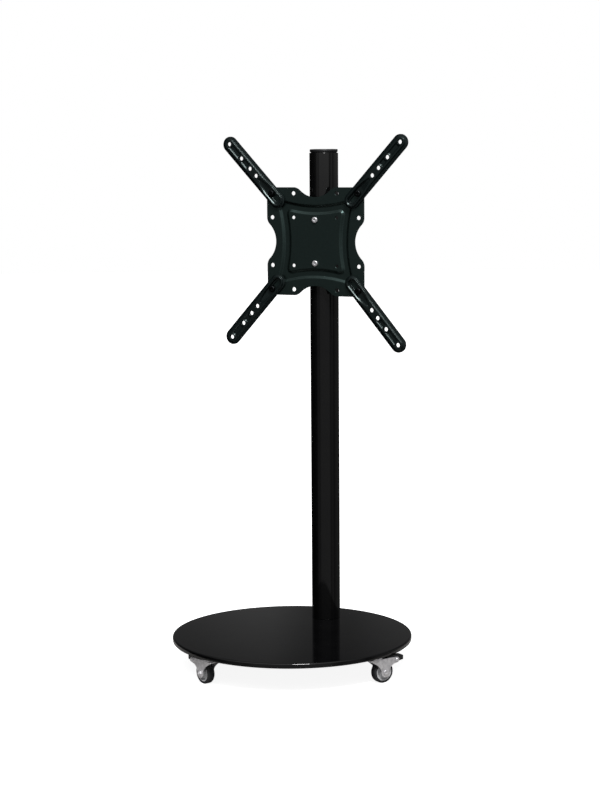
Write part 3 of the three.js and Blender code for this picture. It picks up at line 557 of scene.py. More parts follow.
def zinc_plate():
    """Bright zinc on pressed or turned steel: a soft mirror with cloudy patches and fine rolling lines."""
    made, tree, shader, where = new_finish("bright_zinc_plate", {"Metallic": 0.75})
    coloured(tree, shader, noise(tree, where, grain_mm=7, detail=4), "#c9c8cc", "#f0eff1")
    lines = add(tree, "ShaderNodeMapping", {"Scale": (1, 1, 9)}, Vector=where).outputs["Vector"]
    rolled = noise(tree, lines, grain_mm=2.5, detail=3)
    roughened(tree, shader, rolled, 0.3, 0.46)
    bumped(tree, shader, rolled, depth_mm=0.006, strength=0.5)
    return made


def blackened_steel():
    """Oil-blacked steel of the pivot screws: dark, with worn grey where a key has turned."""
    made, tree, shader, where = new_finish("blackened_steel", {"Metallic": 1.0})
    wear = noise(tree, where, grain_mm=1.6, detail=3)
    coloured(tree, shader, wear, "#17191a", "#3a3d3f", start=0.5, end=0.75)
    roughened(tree, shader, wear, 0.34, 0.5)
    return made


def moulded_black():
    """Glass-filled nylon, moulded: satin black with the spark-eroded grain of its mould, which is
    drawn at several times its real size so that it shows."""
    made, tree, shader, where = new_finish("moulded_black_nylon", {"Metallic": 0.0, "IOR": 1.53})
    grain = noise(tree, where, grain_mm=0.5, detail=2)
    coloured(tree, shader, grain, "#101112", "#1d1e20")
    roughened(tree, shader, noise(tree, where, grain_mm=4, detail=2), 0.36, 0.5)
    bumped(tree, shader, grain, depth_mm=0.015, strength=0.5)
    return made


def rubber_tread():
    """Thermoplastic rubber tyre: matte and nearly black, dusted and scuffed a little lighter."""
    made, tree, shader, where = new_finish("thermoplastic_rubber", {"Metallic": 0.0, "IOR": 1.5})
    dust = noise(tree, where, grain_mm=1.3, detail=4)
    coloured(tree, shader, dust, "#0d0e11", "#26272b")
    roughened(tree, shader, dust, 0.6, 0.85)
    bumped(tree, shader, dust, depth_mm=0.05, strength=0.5)
    return made


def moulded_grey():
    """Polypropylene wheel centre: light grey, moulded, slightly waxy."""
    made, tree, shader, where = new_finish("moulded_grey_polypropylene", {"Metallic": 0.0, "IOR": 1.49})
    flow = noise(tree, where, grain_mm=5, detail=3)
    coloured(tree, shader, flow, "#c4c5c8", "#dadbdd")
    roughened(tree, shader, flow, 0.4, 0.52)
    bumped(tree, shader, noise(tree, where, grain_mm=0.6, detail=2), depth_mm=0.01, strength=0.4)
    return made


POLE_COAT = gloss_powder_coat("gloss_black_powder_coat", "#050506", "#090909", 0.07, 0.12, 1.6)
BASE_COAT = gloss_powder_coat("gloss_black_base_coat", "#060607", "#0a0a0b", 0.06, 0.09, 1.8)
PLATE_COAT = fine_texture_coat()
ARM_COAT = satin_coat()
ZINC = zinc_plate()
BLACK_STEEL = blackened_steel()
BLACK_NYLON = moulded_black()
TREAD = rubber_tread()
GREY_CORE = moulded_grey()


# Base, pole and foot

HERE = Matrix.Identity(4)
POLE_PLACE = Matrix.Translation((0, POLE_SETBACK, 0))


def foot_places():
    for i in range(4):
        angle = (2 * i + 1) * math.pi / 4
        yield FOOT_BOLT_CIRCLE * math.cos(angle), POLE_SETBACK + FOOT_BOLT_CIRCLE * math.sin(angle)


def base_plate():
    """A round plate with softened edges, countersunk from below for the foot screws."""
    bm = bmesh.new()
    lower, upper = BASE_LOWER_ROUND, BASE_EDGE_ROUND
    side = [
        *arc((BASE_RADIUS - lower, RIDE_HEIGHT + lower), lower, -QUARTER, 0, 3),
        *arc((BASE_RADIUS - upper, BASE_TOP - upper), upper, 0, QUARTER, 6),
    ]
    rings = stacked(bm, [(circle(point.x, 240), point.y) for point in side])
    fill(bm, rings[-1])
    sinks = []
    for x, y in foot_places():
        mouth = circle(FOOT_HEAD_RADIUS + SEAT, 32, x, y)
        clear = circle(FOOT_SCREW_RADIUS + SEAT, 32, x, y)
        straight = RIDE_HEIGHT + FOOT_HEAD_SUNK
        sink = stacked(bm, [(mouth, RIDE_HEIGHT), (mouth, straight), (clear, straight + FOOT_HEAD_CONE)])
        fill(bm, sink[-1])
        sinks.append(sink[0])
    fill(bm, rings[0], *sinks)
    put("base", bm, HERE, BASE_COAT, "stand", "base_plate")


def pole():
    edge = 0.5
    corners = [
        (POLE_INNER_RADIUS, POLE_BOTTOM, edge),
        (POLE_RADIUS, POLE_BOTTOM, edge),
        (POLE_RADIUS, POLE_TOP, edge),
        (POLE_INNER_RADIUS, POLE_TOP, edge),
    ]
    put("pole", spun(corners, 144, closed=True), POLE_PLACE, POLE_COAT, "stand", "pole_tube")


def pole_cap():
    """A push-in disc, undercut above the pole's rim, with a skirt inside the pole."""
    low = POLE_TOP + SEAT
    ledge = low + 0.1
    skirt_low = low - CAP_SKIRT_DEPTH
    skirt_inner = CAP_SKIRT_RADIUS - CAP_SKIRT_WALL
    top = low + CAP_HEIGHT
    profile = [
        (0, low, 0),
        (skirt_inner, low, 0.5),
        (skirt_inner, skirt_low, 0.4),
        (CAP_SKIRT_RADIUS, skirt_low, 0.8),
        (CAP_SKIRT_RADIUS, ledge, 0),
        (CAP_RADIUS - CAP_UNDERCUT, ledge, 0.2),
        (CAP_RADIUS, low + CAP_UNDERCUT, 0.8),
        (CAP_RADIUS, top - 0.4, 1.5),
        (CAP_RADIUS - 8, top, 4),
        (0, top, 0),
    ]
    put("pole_cap", spun(profile, 96), POLE_PLACE, BLACK_NYLON, "stand", "pole_end_cap")


def socket_head(profile, top, socket, depth):
    """A turned screw whose profile stops on its top, closed there round a hexagon socket."""
    bm = spun(profile, 40)
    chamfer = 0.15
    mouth = [e for e in bm.edges if e.is_boundary and all(abs(v.co.z - top) < SAME for v in e.verts)]
    edge = ring(bm, hexagon(socket + chamfer), top)
    walls = stacked(bm, [(hexagon(socket), top - chamfer), (hexagon(socket), top - depth)])
    bridge(bm, [edge, walls[0]])
    fill(bm, mouth, edge)
    fill(bm, walls[-1])
    return bm


def pan_screw(shank, length, head, height, rounding, socket, depth):
    """A pan-head socket screw: seat at zero, shank down to -length."""
    profile = [
        (0, -length, 0),
        (shank, -length, 0.5),
        (shank, 0, 0),
        (head, 0, 0.25),
        (head, height, rounding),
        (head - rounding - 0.6, height, 0),
    ]
    return socket_head(profile, height, socket, depth)


def foot_screws():
    """Countersunk screws, drawn with their heads up and then turned over."""
    top = -RIDE_HEIGHT - FOOT_HEAD_SUNK - SEAT
    for i, (x, y) in enumerate(foot_places()):
        profile = [
            (0, top - FOOT_SCREW_LENGTH, 0),
            (FOOT_SCREW_RADIUS, top - FOOT_SCREW_LENGTH, 0.5),
            (FOOT_SCREW_RADIUS, top - FOOT_HEAD_CONE, 0.3),
            (FOOT_HEAD_RADIUS - SEAT, top, 0.2),
            (FOOT_SOCKET_RIM, top, 0),
        ]
        screw = socket_head(profile, top, socket=2.9, depth=3)
        flip = Matrix.Translation((x, y, 0)) @ Matrix.Rotation(math.pi, 4, "X")
        put(f"foot_screw_{i + 1}", screw, flip, ZINC, "stand", f"pole_foot_screw_{i + 1}")


# Screen plate and what holds it

PANEL = Matrix.Translation((0, PLATE_FRONT, PLATE_HEIGHT)) @ Matrix.Rotation(QUARTER, 4, "X")


def scalloped_edge(depth, flank):
    """One edge seen with its outside up, from the right corner to the left one."""
    lip_drop = SCALLOP_LIP * (1 - math.cos(flank))
    hollow_rise = SCALLOP_RADIUS * (1 - math.cos(flank))
    straight = max(0, depth - lip_drop - hollow_rise) / math.sin(flank)
    spread_out = SCALLOP_RADIUS * math.sin(flank) + straight * math.cos(flank)
    lip = spread_out + SCALLOP_LIP * math.sin(flank)
    low = PLATE_HALF - SCALLOP_LIP
    hollow = PLATE_HALF - depth + SCALLOP_RADIUS
    corner = PLATE_HALF - PLATE_CORNER
    return [
        *arc((corner, corner), PLATE_CORNER, 0, QUARTER, 10),
        *arc((lip, low), SCALLOP_LIP, QUARTER, QUARTER + flank, 12),
        *arc((0, hollow), SCALLOP_RADIUS, flank - QUARTER, -flank - QUARTER, 32),
        *arc((-lip, low), SCALLOP_LIP, QUARTER - flank, QUARTER, 12),
    ]


def plate_outline():
    """The four scalloped edges in one loop, with each shared point kept once."""
    points = []
    for turn in range(4):
        depth, flank = SCALLOP_SIDE if turn % 2 else SCALLOP_TOP
        spin = Matrix.Rotation(turn * QUARTER, 2)
        points += [spin @ p for p in scalloped_edge(depth, flank)]
    pairs = zip(points, points[1:] + points[:1])
    return [here for here, after in pairs if (after - here).length > 10 * SAME]


def dished_square(side, corner, rounding):
    """A square with drawn-in sides and soft corners, counterclockwise. The two curves that meet in a
    corner head for one point on its diagonal."""
    along = corner - rounding
    pull = 2 * side - corner
    tip = pull / (1 - (corner - pull) / along)
    points = []
    for turn in range(4):
        spin = Matrix.Rotation(turn * QUARTER, 2)
        edge = curve(Vector((along, corner)), Vector((0, pull)), Vector((-along, corner)), 18)
        bend = curve(Vector((-along, corner)), Vector((-tip, tip)), Vector((-corner, along)), 10)
        points += [spin @ p for p in edge + bend]
    return points


def groove_levels(outline, direction, start, width):
    """Rings down one wall of the pressed groove, from the face to its floor."""
    steps = 12
    shares = [step / steps for step in range(steps + 1)]
    return [
        (inset(outline, direction * (start + width * share)), -GROOVE_DEPTH * pressed(share))
        for share in shares
    ]


def plate_holes():
    """Radius and place of every hole, those of the flange first and then those of the middle."""
    flange = []
    middle = []
    for x in (-1, 1):
        for y in (-1, 1):
            flange += [
                (FLANGE_HOLE, x * PITCH_WIDE, y * PITCH_NARROW),
                (FLANGE_HOLE, x * PITCH_NARROW, y * PITCH_WIDE),
                (SCREW_CLEAR, x * PITCH_WIDE, y * PITCH_WIDE),
            ]
            middle.append((INNER_HOLE, x * PITCH_NARROW, y * PITCH_NARROW))
    middle += [(SCREW_CLEAR, 0, y * CENTRE_SCREW_PLACE) for y in (-1, 1)]
    return flange, middle


def through_hole(bm, radius, x, y, top, low):
    """A drilled hole with softened rims. Returns its top and bottom rings."""
    wide = circle(radius + HOLE_ROLL, 28, x, y)
    bore = circle(radius, 28, x, y)
    rings = stacked(bm, [(wide, top), (bore, top - HOLE_ROLL), (bore, low + HOLE_ROLL), (wide, low)])
    return rings[0], rings[-1]


def screen_plate():
    """One stamped sheet: its two faces are the same walls, a sheet's thickness apart."""
    bm = bmesh.new()
    outline = plate_outline()
    edge = 0.5
    soft = edge * 0.3
    rim = stacked(bm, [
        (inset(outline, edge), 0),
        (inset(outline, soft), -soft),
        (outline, -edge),
        (outline, edge - PLATE_SHEET),
        (inset(outline, soft), soft - PLATE_SHEET),
        (inset(outline, edge), -PLATE_SHEET),
    ])
    outer = groove_levels(dished_square(*GROOVE_OUTER), 1, *GROOVE_OUTER_WALL)
    inner = groove_levels(dished_square(*GROOVE_INNER), -1, *GROOVE_INNER_WALL)
    flange, middle = plate_holes()
    flange_rings = [through_hole(bm, *hole, 0, -PLATE_SHEET) for hole in flange]
    middle_rings = [through_hole(bm, *hole, 0, -PLATE_SHEET) for hole in middle]
    for side, drop, rim_ring in ((0, 0, rim[0]), (1, PLATE_SHEET, rim[-1])):
        rings = stacked(bm, [(points, height - drop) for points, height in outer + inner[::-1]])
        fill(bm, rim_ring, rings[0], *(pair[side] for pair in flange_rings))
        fill(bm, rings[-1], *(pair[side] for pair in middle_rings))
    put("screen_plate_pressing", bm, PANEL, PLATE_COAT, "stand", "screen_plate", crisp=40)


def saddle():
    """The block between the plate's flat back and the round pole."""
    front = -PLATE_SHEET - SEAT
    radius = POLE_RADIUS + SEAT
    reach = math.asin(SADDLE_HALF_WIDTH / radius)
    hollow = arc((0, -PLATE_STANDOFF), radius, QUARTER - reach, QUARTER + reach, 24)
    outline = [Vector((-SADDLE_HALF_WIDTH, front)), Vector((SADDLE_HALF_WIDTH, front)), *hollow]
    block = turned(slab(outline, -SADDLE_HALF_HEIGHT, SADDLE_HALF_HEIGHT, 0.8), SIDE_ON)
    put("saddle", block, PANEL, ARM_COAT, "stand", "plate_saddle")


def centre_screws():
    """The two screws that hold the plate to the pole, one above the other."""
    for word, side in (("upper", 1), ("lower", -1)):
        screw = pan_screw(shank=4, length=26.5, head=6.2, height=3.6, rounding=1.8, socket=2.6, depth=2.2)
        place = PANEL @ Matrix.Translation((0, side * CENTRE_SCREW_PLACE, SEAT))
        put(f"plate_screw_{word}", screw, place, ZINC, "stand", f"centre_screw_{word}")


# Arms

def round_ended(outer_centre, outer_radius, half):
    """An outline along the arm, half(x) wide at its stations, with an arc at both ends."""
    sides = [(x, half(x)) for x in ARM_STATIONS]
    return [
        *arc((outer_centre, 0), outer_radius, -QUARTER, QUARTER, 24),
        *(Vector((x, y)) for x, y in reversed(sides)),
        *arc((-SLOT_TRAVEL, 0), half(-SLOT_TRAVEL), QUARTER, 3 * QUARTER, 28),
        *(Vector((x, -y)) for x, y in sides),
    ]


def strap(inwards):
    """The arm's own outline, drawn in by inwards."""
    radius = ARM_HALF - inwards
    return round_ended(ARM_OUTER - ARM_HALF, radius, lambda x: radius)


def crown(grow):
    """The raised crown: wide round the pivot, narrower along the holes."""
    narrow = CROWN_WIDE - CROWN_RUN

    def half(x):
        return CROWN_WIDE + grow - narrow * eased((x - CROWN_WIDE_TO) / (CROWN_RUN_FROM - CROWN_WIDE_TO))

    return round_ended(ARM_HOLES[-1], CROWN_RUN + grow, half)


def pocket_half(x):
    """Half the pocket's width, which narrows slowly at first."""
    share = max(0, x - POCKET_WIDE_TO) / (POCKET_TIP_AT - POCKET_WIDE_TO)
    return POCKET_WIDE - (POCKET_WIDE - POCKET_TIP) * share ** POCKET_TAPER


def pocket(grow, far=None):
    """The pivot pocket's outline, drawn in to its round tip, or cut square at far."""
    sides = [(x, pocket_half(x) + grow) for x in POCKET_STATIONS if far is None or x < far]
    end = arc((POCKET_TIP_AT, 0), POCKET_TIP + grow, -QUARTER, QUARTER, 12)
    if far is not None:
        end = [Vector((far, -pocket_half(far) - grow)), Vector((far, pocket_half(far) + grow))]
    return [
        *end,
        *(Vector((x, y)) for x, y in reversed(sides)),
        *arc((-SLOT_TRAVEL, 0), POCKET_WIDE + grow, QUARTER, 3 * QUARTER, 20),
        *(Vector((x, -y)) for x, y in sides),
    ]


def window(first, last, grow):
    """A sunken window between two holes: straight sides, and hollow ends that follow the holes."""
    half = WINDOW_HALF + grow
    radius = WINDOW_END - grow
    swing = math.asin(half / radius)
    near = first + radius * math.cos(swing) + WINDOW_EASE
    far = last - radius * math.cos(swing) - WINDOW_EASE
    return softened([
        *arc((first, 0), radius, swing, -swing, 12),
        Vector((near, -half)),
        Vector((far, -half)),
        *arc((last, 0), radius, math.pi + swing, math.pi - swing, 12),
        Vector((far, half)),
        Vector((near, half)),
    ])


def slot(grow):
    """The slot that the pivot screw slides in."""
    radius = SCREW_CLEAR + grow
    outer = arc((0, 0), radius, -QUARTER, QUARTER, 14)
    return outer + arc((-SLOT_TRAVEL, 0), radius, QUARTER, 3 * QUARTER, 14)


def shoulder_height(point):
    """The shoulder slopes down to the strap's edge."""
    middle = min(max(point.x, ARM_INNER + ARM_HALF), ARM_OUTER - ARM_HALF)
    share = clamped((ARM_HALF - math.hypot(point.x - middle, point.y)) / SHOULDER_WIDTH)
    return ARM_SHOULDER - SHOULDER_FALL * (1 - share)


def floor_height(point):
    """The pocket's floor: low round the pivot, then a ramp up to the shoulder."""
    share = clamped((point.x - POCKET_FLAT_TO) / (RAMP_TO - POCKET_FLAT_TO))
    return ARM_SHEET + (ARM_SHOULDER - ARM_SHEET) * share


def under_height(point):
    return floor_height(point) - ARM_SHEET


def up_to_crown(low, share):
    """A height rule: a share of the way from low(point) up to the crown's top."""
    return lambda point: low(point) + (CROWN_TOP - low(point)) * share


def rim_levels():
    """Rings up the strap's edge, over the falling shoulder and up to the flat top of the crown."""
    soft = 0.4
    levels = [(strap(soft), 0), (strap(0), soft)]
    foot = crown(CROWN_CLIMB[0][0])
    for share in SHOULDER_SHARES:
        levels.append(([edge.lerp(base, share) for edge, base in zip(strap(0), foot)], shoulder_height))
    for grow, share in CROWN_CLIMB:
        levels.append((crown(grow), up_to_crown(shoulder_height, share)))
    return levels


def pocket_levels():
    """Rings down the walls of the pivot pocket."""
    return [(pocket(grow), up_to_crown(floor_height, share)) for grow, share in POCKET_DROP]


def window_levels(first, last):
    """Rings down the walls of a window, to the shoulder's height."""
    return [(window(first, last, grow), ARM_SHOULDER + CROWN_LIFT * share) for grow, share in WINDOW_DROP]


def arm():
    """One stamped arm, seat at zero and face up: a crowned strap, hollow from below, whose pocket
    comes down to the plate."""
    bm = bmesh.new()
    ceiling = ARM_SHOULDER - ARM_SHEET
    rim = stacked(bm, rim_levels())
    well = stacked(bm, pocket_levels())
    sunken = [stacked(bm, window_levels(*pair)) for pair in WINDOWS]
    holes = [through_hole(bm, ARM_HOLE, x, 0, CROWN_TOP, ceiling) for x in ARM_HOLES]
    fill(bm, rim[-1], well[0], *(rings[0] for rings in sunken), *(top for top, low in holes))
    for rings in sunken:
        fill(bm, rings[-1])
    skirt = stacked(bm, [
        (strap(ARM_SHEET), 0),
        (strap(ARM_SHEET), ceiling - ARM_BEND),
        (strap(ARM_SHEET + ARM_BEND), ceiling),
    ])
    fill(bm, rim[0], skirt[0])
    gap = stacked(bm, [(slot(HOLE_ROLL), ARM_SHEET), (slot(0), ARM_SHEET - HOLE_ROLL), (slot(0), 0)])
    # The pocket's floor in three pieces: flat with the slot in it, ramp, and level tip
    foot = across(bm, well[-1], POCKET_FLAT_TO)
    head = across(bm, well[-1], RAMP_TO)
    fill(bm, part_of(well[-1], ARM_INNER, POCKET_FLAT_TO) + [foot], gap[0])
    fill(bm, part_of(well[-1], POCKET_FLAT_TO, RAMP_TO) + [foot, head])
    fill(bm, part_of(well[-1], RAMP_TO, ARM_OUTER) + [head])
    # The same floor from below, where it bulges out of the hollow
    bulge = stacked(bm, [
        (pocket(ARM_SHEET + ARM_BEND, RAMP_TO + ARM_BEND), ceiling),
        (pocket(ARM_SHEET, RAMP_TO), under_height),
    ])
    foot = across(bm, bulge[-1], POCKET_FLAT_TO)
    fill(bm, part_of(bulge[-1], ARM_INNER, POCKET_FLAT_TO) + [foot], gap[-1])
    fill(bm, part_of(bulge[-1], POCKET_FLAT_TO, ARM_OUTER) + [foot])
    fill(bm, skirt[-1], bulge[0], *(low for top, low in holes))
    return bm


def flange_nut():
    """A hexagon lock nut on its flange, seat at zero and body below."""
    bm = bmesh.new()
    corner = 13 / math.sqrt(3)
    flange, flange_edge = circle(8.6, 36), circle(8, 36)
    bore = circle(SCREW_CLEAR, 24)
    flange_low, low = -1.4, -6.5
    rings = stacked(bm, [(flange, 0), (flange, -0.8), (flange_edge, flange_low)])
    body = stacked(bm, [
        (hexagon(corner), flange_low),
        (hexagon(corner), low + 0.5),
        (hexagon(corner - 0.8), low),
    ])
    hole = stacked(bm, [(bore, 0), (bore, low)])
    fill(bm, rings[0], hole[0])
    fill(bm, rings[-1], body[0])
    fill(bm, body[-1], hole[-1])
    return bm


def arms():
    for corner, direction in ARM_DIRECTIONS.items():
        x = PITCH_WIDE if "right" in corner else -PITCH_WIDE
        y = PITCH_WIDE if "upper" in corner else -PITCH_WIDE
        pivot = PANEL @ Matrix.Translation((x, y, 0)) @ Matrix.Rotation(math.radians(direction), 4, "Z")
        on_plate, on_arm, behind = (
            pivot @ Matrix.Translation((0, 0, height))
            for height in (SEAT, ARM_SHEET + 2 * SEAT, -PLATE_SHEET - SEAT)
        )
        swings, holds = f"{corner}_arm", f"{corner}_pivot"
        screw = pan_screw(shank=4, length=12.9, head=7, height=4.2, rounding=2.6, socket=2.9, depth=2.4)
        put(f"arm_pressing_{corner}", arm(), on_plate, ARM_COAT, swings, f"arm_{corner}", crisp=40)
        put(f"arm_screw_{corner}", screw, on_arm, BLACK_STEEL, holds, f"pivot_screw_{corner}")
        put(f"arm_nut_{corner}", flange_nut(), behind, ZINC, holds, f"pivot_nut_{corner}")


# Casters

def caster_places():
    for i, trail in enumerate(CASTER_TRAILS):
        angle = math.radians(CASTER_FIRST + 90 * i)
        spot = Matrix.Translation((CASTER_CIRCLE * math.cos(angle), CASTER_CIRCLE * math.sin(angle), 0))
        yield f"caster_{i + 1}", spot @ Matrix.Rotation(math.radians(trail), 4, "Z")


def stem():
    """Kingpin, bearing flange and threaded stem, turned in one."""
    kingpin, king_head, flange, thread = 4.5, 8, 16.5, 4
    flange_top = RIDE_HEIGHT - SEAT
    flange_low = flange_top - 1.2
    head_top = FORK_TOP - FORK_SHEET - SEAT
    head_low = head_top - 1.8
    stem_top = RIDE_HEIGHT + 8
    profile = [
        (0, head_low, 0),
        (king_head, head_low, 0.6),
        (king_head, head_top, 0.2),
        (kingpin, head_top, 0),
        (kingpin, flange_low, 0),
        (flange, flange_low, 0.3),
        (flange, flange_top, 0.3),
        (thread, flange_top, 0),
        (thread, stem_top, 0.5),
        (0, stem_top, 0),
    ]
    return spun(profile, 48)


def cheek_outline():
    """One cheek of the fork from the side: trail to the right, up is up."""
    chamfer = 1.2
    waist = WHEEL_RADIUS + 1.5 * FORK_EAR
    pin_ear = FORK_TOP - PEDAL_PIN_HEIGHT
    front = Vector((WHEEL_TRAIL - FORK_EAR, WHEEL_RADIUS))
    back = Vector((WHEEL_TRAIL + FORK_EAR, WHEEL_RADIUS))
    nose = Vector((-FORK_NOSE, FORK_TOP - FORK_SHEET))
    under_pin = Vector((PEDAL_PIN_AT, PEDAL_PIN_HEIGHT - pin_ear))
    return [
        *arc((PEDAL_PIN_AT, PEDAL_PIN_HEIGHT), pin_ear, -QUARTER, QUARTER, 12),
        Vector((FORK_CREASE_AT, FORK_TOP)),
        Vector((chamfer - FORK_NOSE, FORK_TOP)),
        Vector((-FORK_NOSE, FORK_TOP - chamfer)),
        *curve(nose, Vector((front.x, waist)), front, 14),
        *arc((WHEEL_TRAIL, WHEEL_RADIUS), FORK_EAR, math.pi, math.tau, 24)[:-1],
        *curve(back, Vector((back.x, waist)), under_pin, 14),
    ]


def crease_lift(x):
    """How far a cheek stands out: most at its crease, and nothing at its nose and tail."""
    reach = FORK_CREASE_AT + FORK_NOSE if x < FORK_CREASE_AT else FORK_TAIL - FORK_CREASE_AT
    return FORK_CREASE_LIFT * (1 - abs(x - FORK_CREASE_AT) / reach)


def cheek(side):
    """One cheek of the fork, creased down its middle, on the side given."""
    bm = slab(cheek_outline(), FORK_HALF, FORK_OUTER)
    bmesh.ops.bisect_plane(
        bm, geom=[*bm.verts, *bm.edges, *bm.faces], plane_co=(FORK_CREASE_AT, 0, 0), plane_no=(1, 0, 0),
        clear_inner=False, clear_outer=False,
    )
    soften_rims(bm, 0.5)
    for vert in bm.verts:
        vert.co.z += crease_lift(vert.co.x)
    if side < 0:
        turned(bm, Matrix.Scale(-1, 4, UP))
    return turned(bm, SIDE_ON)


def fork():
    """The pressed fork: two cheeks, the top between them and the raised ball race."""
    nose = rounded([
        (FORK_RACE_OUTER, -FORK_OUTER, 0),
        (FORK_RACE_OUTER, FORK_OUTER, 0),
        (-FORK_NOSE, FORK_OUTER, FORK_NOSE_CORNER),
        (-FORK_NOSE, -FORK_OUTER, FORK_NOSE_CORNER),
    ])
    top = slab(nose, FORK_TOP - FORK_SHEET, FORK_TOP, 0.4)
    race_top = FORK_TOP + FORK_RACE_LIFT
    race = [
        (FORK_RACE_INNER, FORK_TOP - 0.5, 0),
        (FORK_RACE_INNER, race_top, 0.5),
        (FORK_RACE_OUTER, race_top, 0.9),
        (FORK_RACE_OUTER, FORK_TOP - FORK_SHEET, 0),
    ]
    return joined(top, spun(race, 64, closed=True), cheek(-1), cheek(1))


def tyre():
    inner = CORE_RADIUS + SEAT
    corners = [
        (inner, -TYRE_HALF, 0.3),
        (WHEEL_RADIUS, -TYRE_HALF, TYRE_SHOULDER),
        (WHEEL_RADIUS, TYRE_HALF, TYRE_SHOULDER),
        (inner, TYRE_HALF, 0.3),
    ]
    return on_side(spun(corners, 72, closed=True), WHEEL_TRAIL, WHEEL_RADIUS)


def wheel_core():
    """Hub, thin web and rim in one, the same on both sides."""
    bore, hub = 3.3, 7
    hub_half, web_half, rim_half = 10.7, 1.5, 7.5
    rim_inner = CORE_RADIUS - 2
    half = [
        (bore, -hub_half, 0.2),
        (hub, -hub_half, 0.6),
        (hub, -web_half, 1.2),
        (rim_inner, -web_half, 1.2),
        (rim_inner, -rim_half, 0.6),
        (CORE_RADIUS, -rim_half, 0.6),
    ]
    other_half = [(radius, -height, rounding) for radius, height, rounding in reversed(half)]
    return on_side(spun(half + other_half, 72, closed=True), WHEEL_TRAIL, WHEEL_RADIUS)


def axle():
    seat = FORK_OUTER + SEAT
    length = 2 * seat + 5.5
    screw = pan_screw(shank=3, length=length, head=5.4, height=2.6, rounding=1.3, socket=2.1, depth=1.3)
    return on_side(screw, WHEEL_TRAIL, WHEEL_RADIUS, -1, seat)


def axle_nut():
    """A hexagon lock nut, seat at zero and body above."""
    bm = bmesh.new()
    corner = 10 / math.sqrt(3)
    height = 4
    bore = circle(3.3, 20)
    body = stacked(bm, [
        (hexagon(corner), 0),
        (hexagon(corner), height - 0.5),
        (hexagon(corner - 0.7), height),
    ])
    hole = stacked(bm, [(bore, 0), (bore, height)])
    fill(bm, body[0], hole[0])
    fill(bm, body[-1], hole[-1])
    return on_side(bm, WHEEL_TRAIL, WHEEL_RADIUS, 1, FORK_OUTER + SEAT)


def pedal_pin():
    """A rivet with one domed and one flat head."""
    pin, head, dome, flat = 2, 4.2, 2.6, 2
    seat = FORK_OUTER + SEAT
    profile = [
        (0, -seat - flat, 0),
        (head, -seat - flat, 0.4),
        (head, -seat, 0.3),
        (pin, -seat, 0),
        (pin, seat, 0),
        (head, seat, 0.3),
        (head, seat + dome, 2.2),
        (0, seat + dome, 0),
    ]
    return on_side(spun(profile, 32), PEDAL_PIN_AT, PEDAL_PIN_HEIGHT, -1)


def pedal():
    """The brake pedal: top, two side webs, a turned-down toe and a cam on the pin."""
    half = FORK_HALF - SEAT
    low = PEDAL_TOP - PEDAL_DEPTH
    cam_x, cam_y = PEDAL_CAM
    cam_heel = (cam_x - 2, cam_y + 2.6)
    plan = rounded([
        (-PEDAL_TAIL, -half, 0.8),
        (PEDAL_TOE, -half, PEDAL_TOE_ROUND),
        (PEDAL_TOE, half, PEDAL_TOE_ROUND),
        (-PEDAL_TAIL, half, 0.8),
    ], 6)
    top = slab(plan, PEDAL_TOP - PEDAL_SHEET, PEDAL_TOP, 0.7)
    toe_plan = [p for p in plan if p.x > PEDAL_TOE - 8]
    toe_inner = [Vector((p.x - PEDAL_SHEET * 1.2, p.y * 0.8)) for p in reversed(toe_plan)]
    toe = slab(toe_plan + toe_inner, low, PEDAL_TOP - 0.8, 0.5)
    web_back, web_front, web_top = 1 - PEDAL_TAIL, PEDAL_TOE - PEDAL_TOE_ROUND, PEDAL_TOP - 1
    web = rounded([
        (web_back, web_top, 0.5),
        (web_back, PEDAL_TOP - 3, 0.5),
        (*cam_heel, 1),
        (cam_x, cam_y, 0.5),
        (0, -4.6, 3),
        (web_front, low, 0.5),
        (web_front, web_top, 0.5),
    ])
    webs = []
    for side in (-1, 1):
        near, far = sorted((side * half, side * (half - PEDAL_SHEET)))
        webs.append(turned(slab(web, near, far, 0.4), SIDE_ON))
    cam = rounded([(*cam_heel, 0.6), (cam_x, cam_y, 0.5), (2, -4.4, 2), (4, 0, 2), (0, PEDAL_TOP - 2, 1)])
    block = turned(slab(cam, 0.5 - half, half - 0.5), SIDE_ON)
    return turned(joined(top, toe, *webs, block), Matrix.Translation((PEDAL_PIN_AT, 0, PEDAL_PIN_HEIGHT)))


def casters():
    for label, place in caster_places():
        yoke, wheel = f"{label}_yoke", f"{label}_wheel"
        put(f"{label}_kingpin", stem(), place, ZINC, "stand", f"{label}_stem")
        put(f"{label}_pressed_fork", fork(), place, ZINC, yoke, f"{label}_fork")
        put(f"{label}_axle_screw", axle(), place, ZINC, yoke, f"{label}_axle")
        put(f"{label}_axle_lock_nut", axle_nut(), place, ZINC, yoke, f"{label}_axle_nut")
        put(f"{label}_pedal_pin", pedal_pin(), place, ZINC, yoke, f"{label}_lever_pin")
        put(f"{label}_rubber", tyre(), place, TREAD, wheel, f"{label}_tyre")
        put(f"{label}_wheel_centre", wheel_core(), place, GREY_CORE, wheel, f"{label}_wheel_core", crisp=25)
        put(f"{label}_pedal", pedal(), place, BLACK_NYLON, f"{label}_pedal", f"{label}_brake_lever")


base_plate()
pole()
pole_cap()
foot_screws()
screen_plate()
saddle()
centre_screws()
arms()
casters()

# Hidden pieces keep their own solids and get their finish
for node in ("pole_foot_plug", "rivet_nut_upper", "rivet_nut_lower"):
    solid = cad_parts[node]
    solid.data.materials.clear()
    solid.data.materials.append(ZINC)


# Camera, floor and light

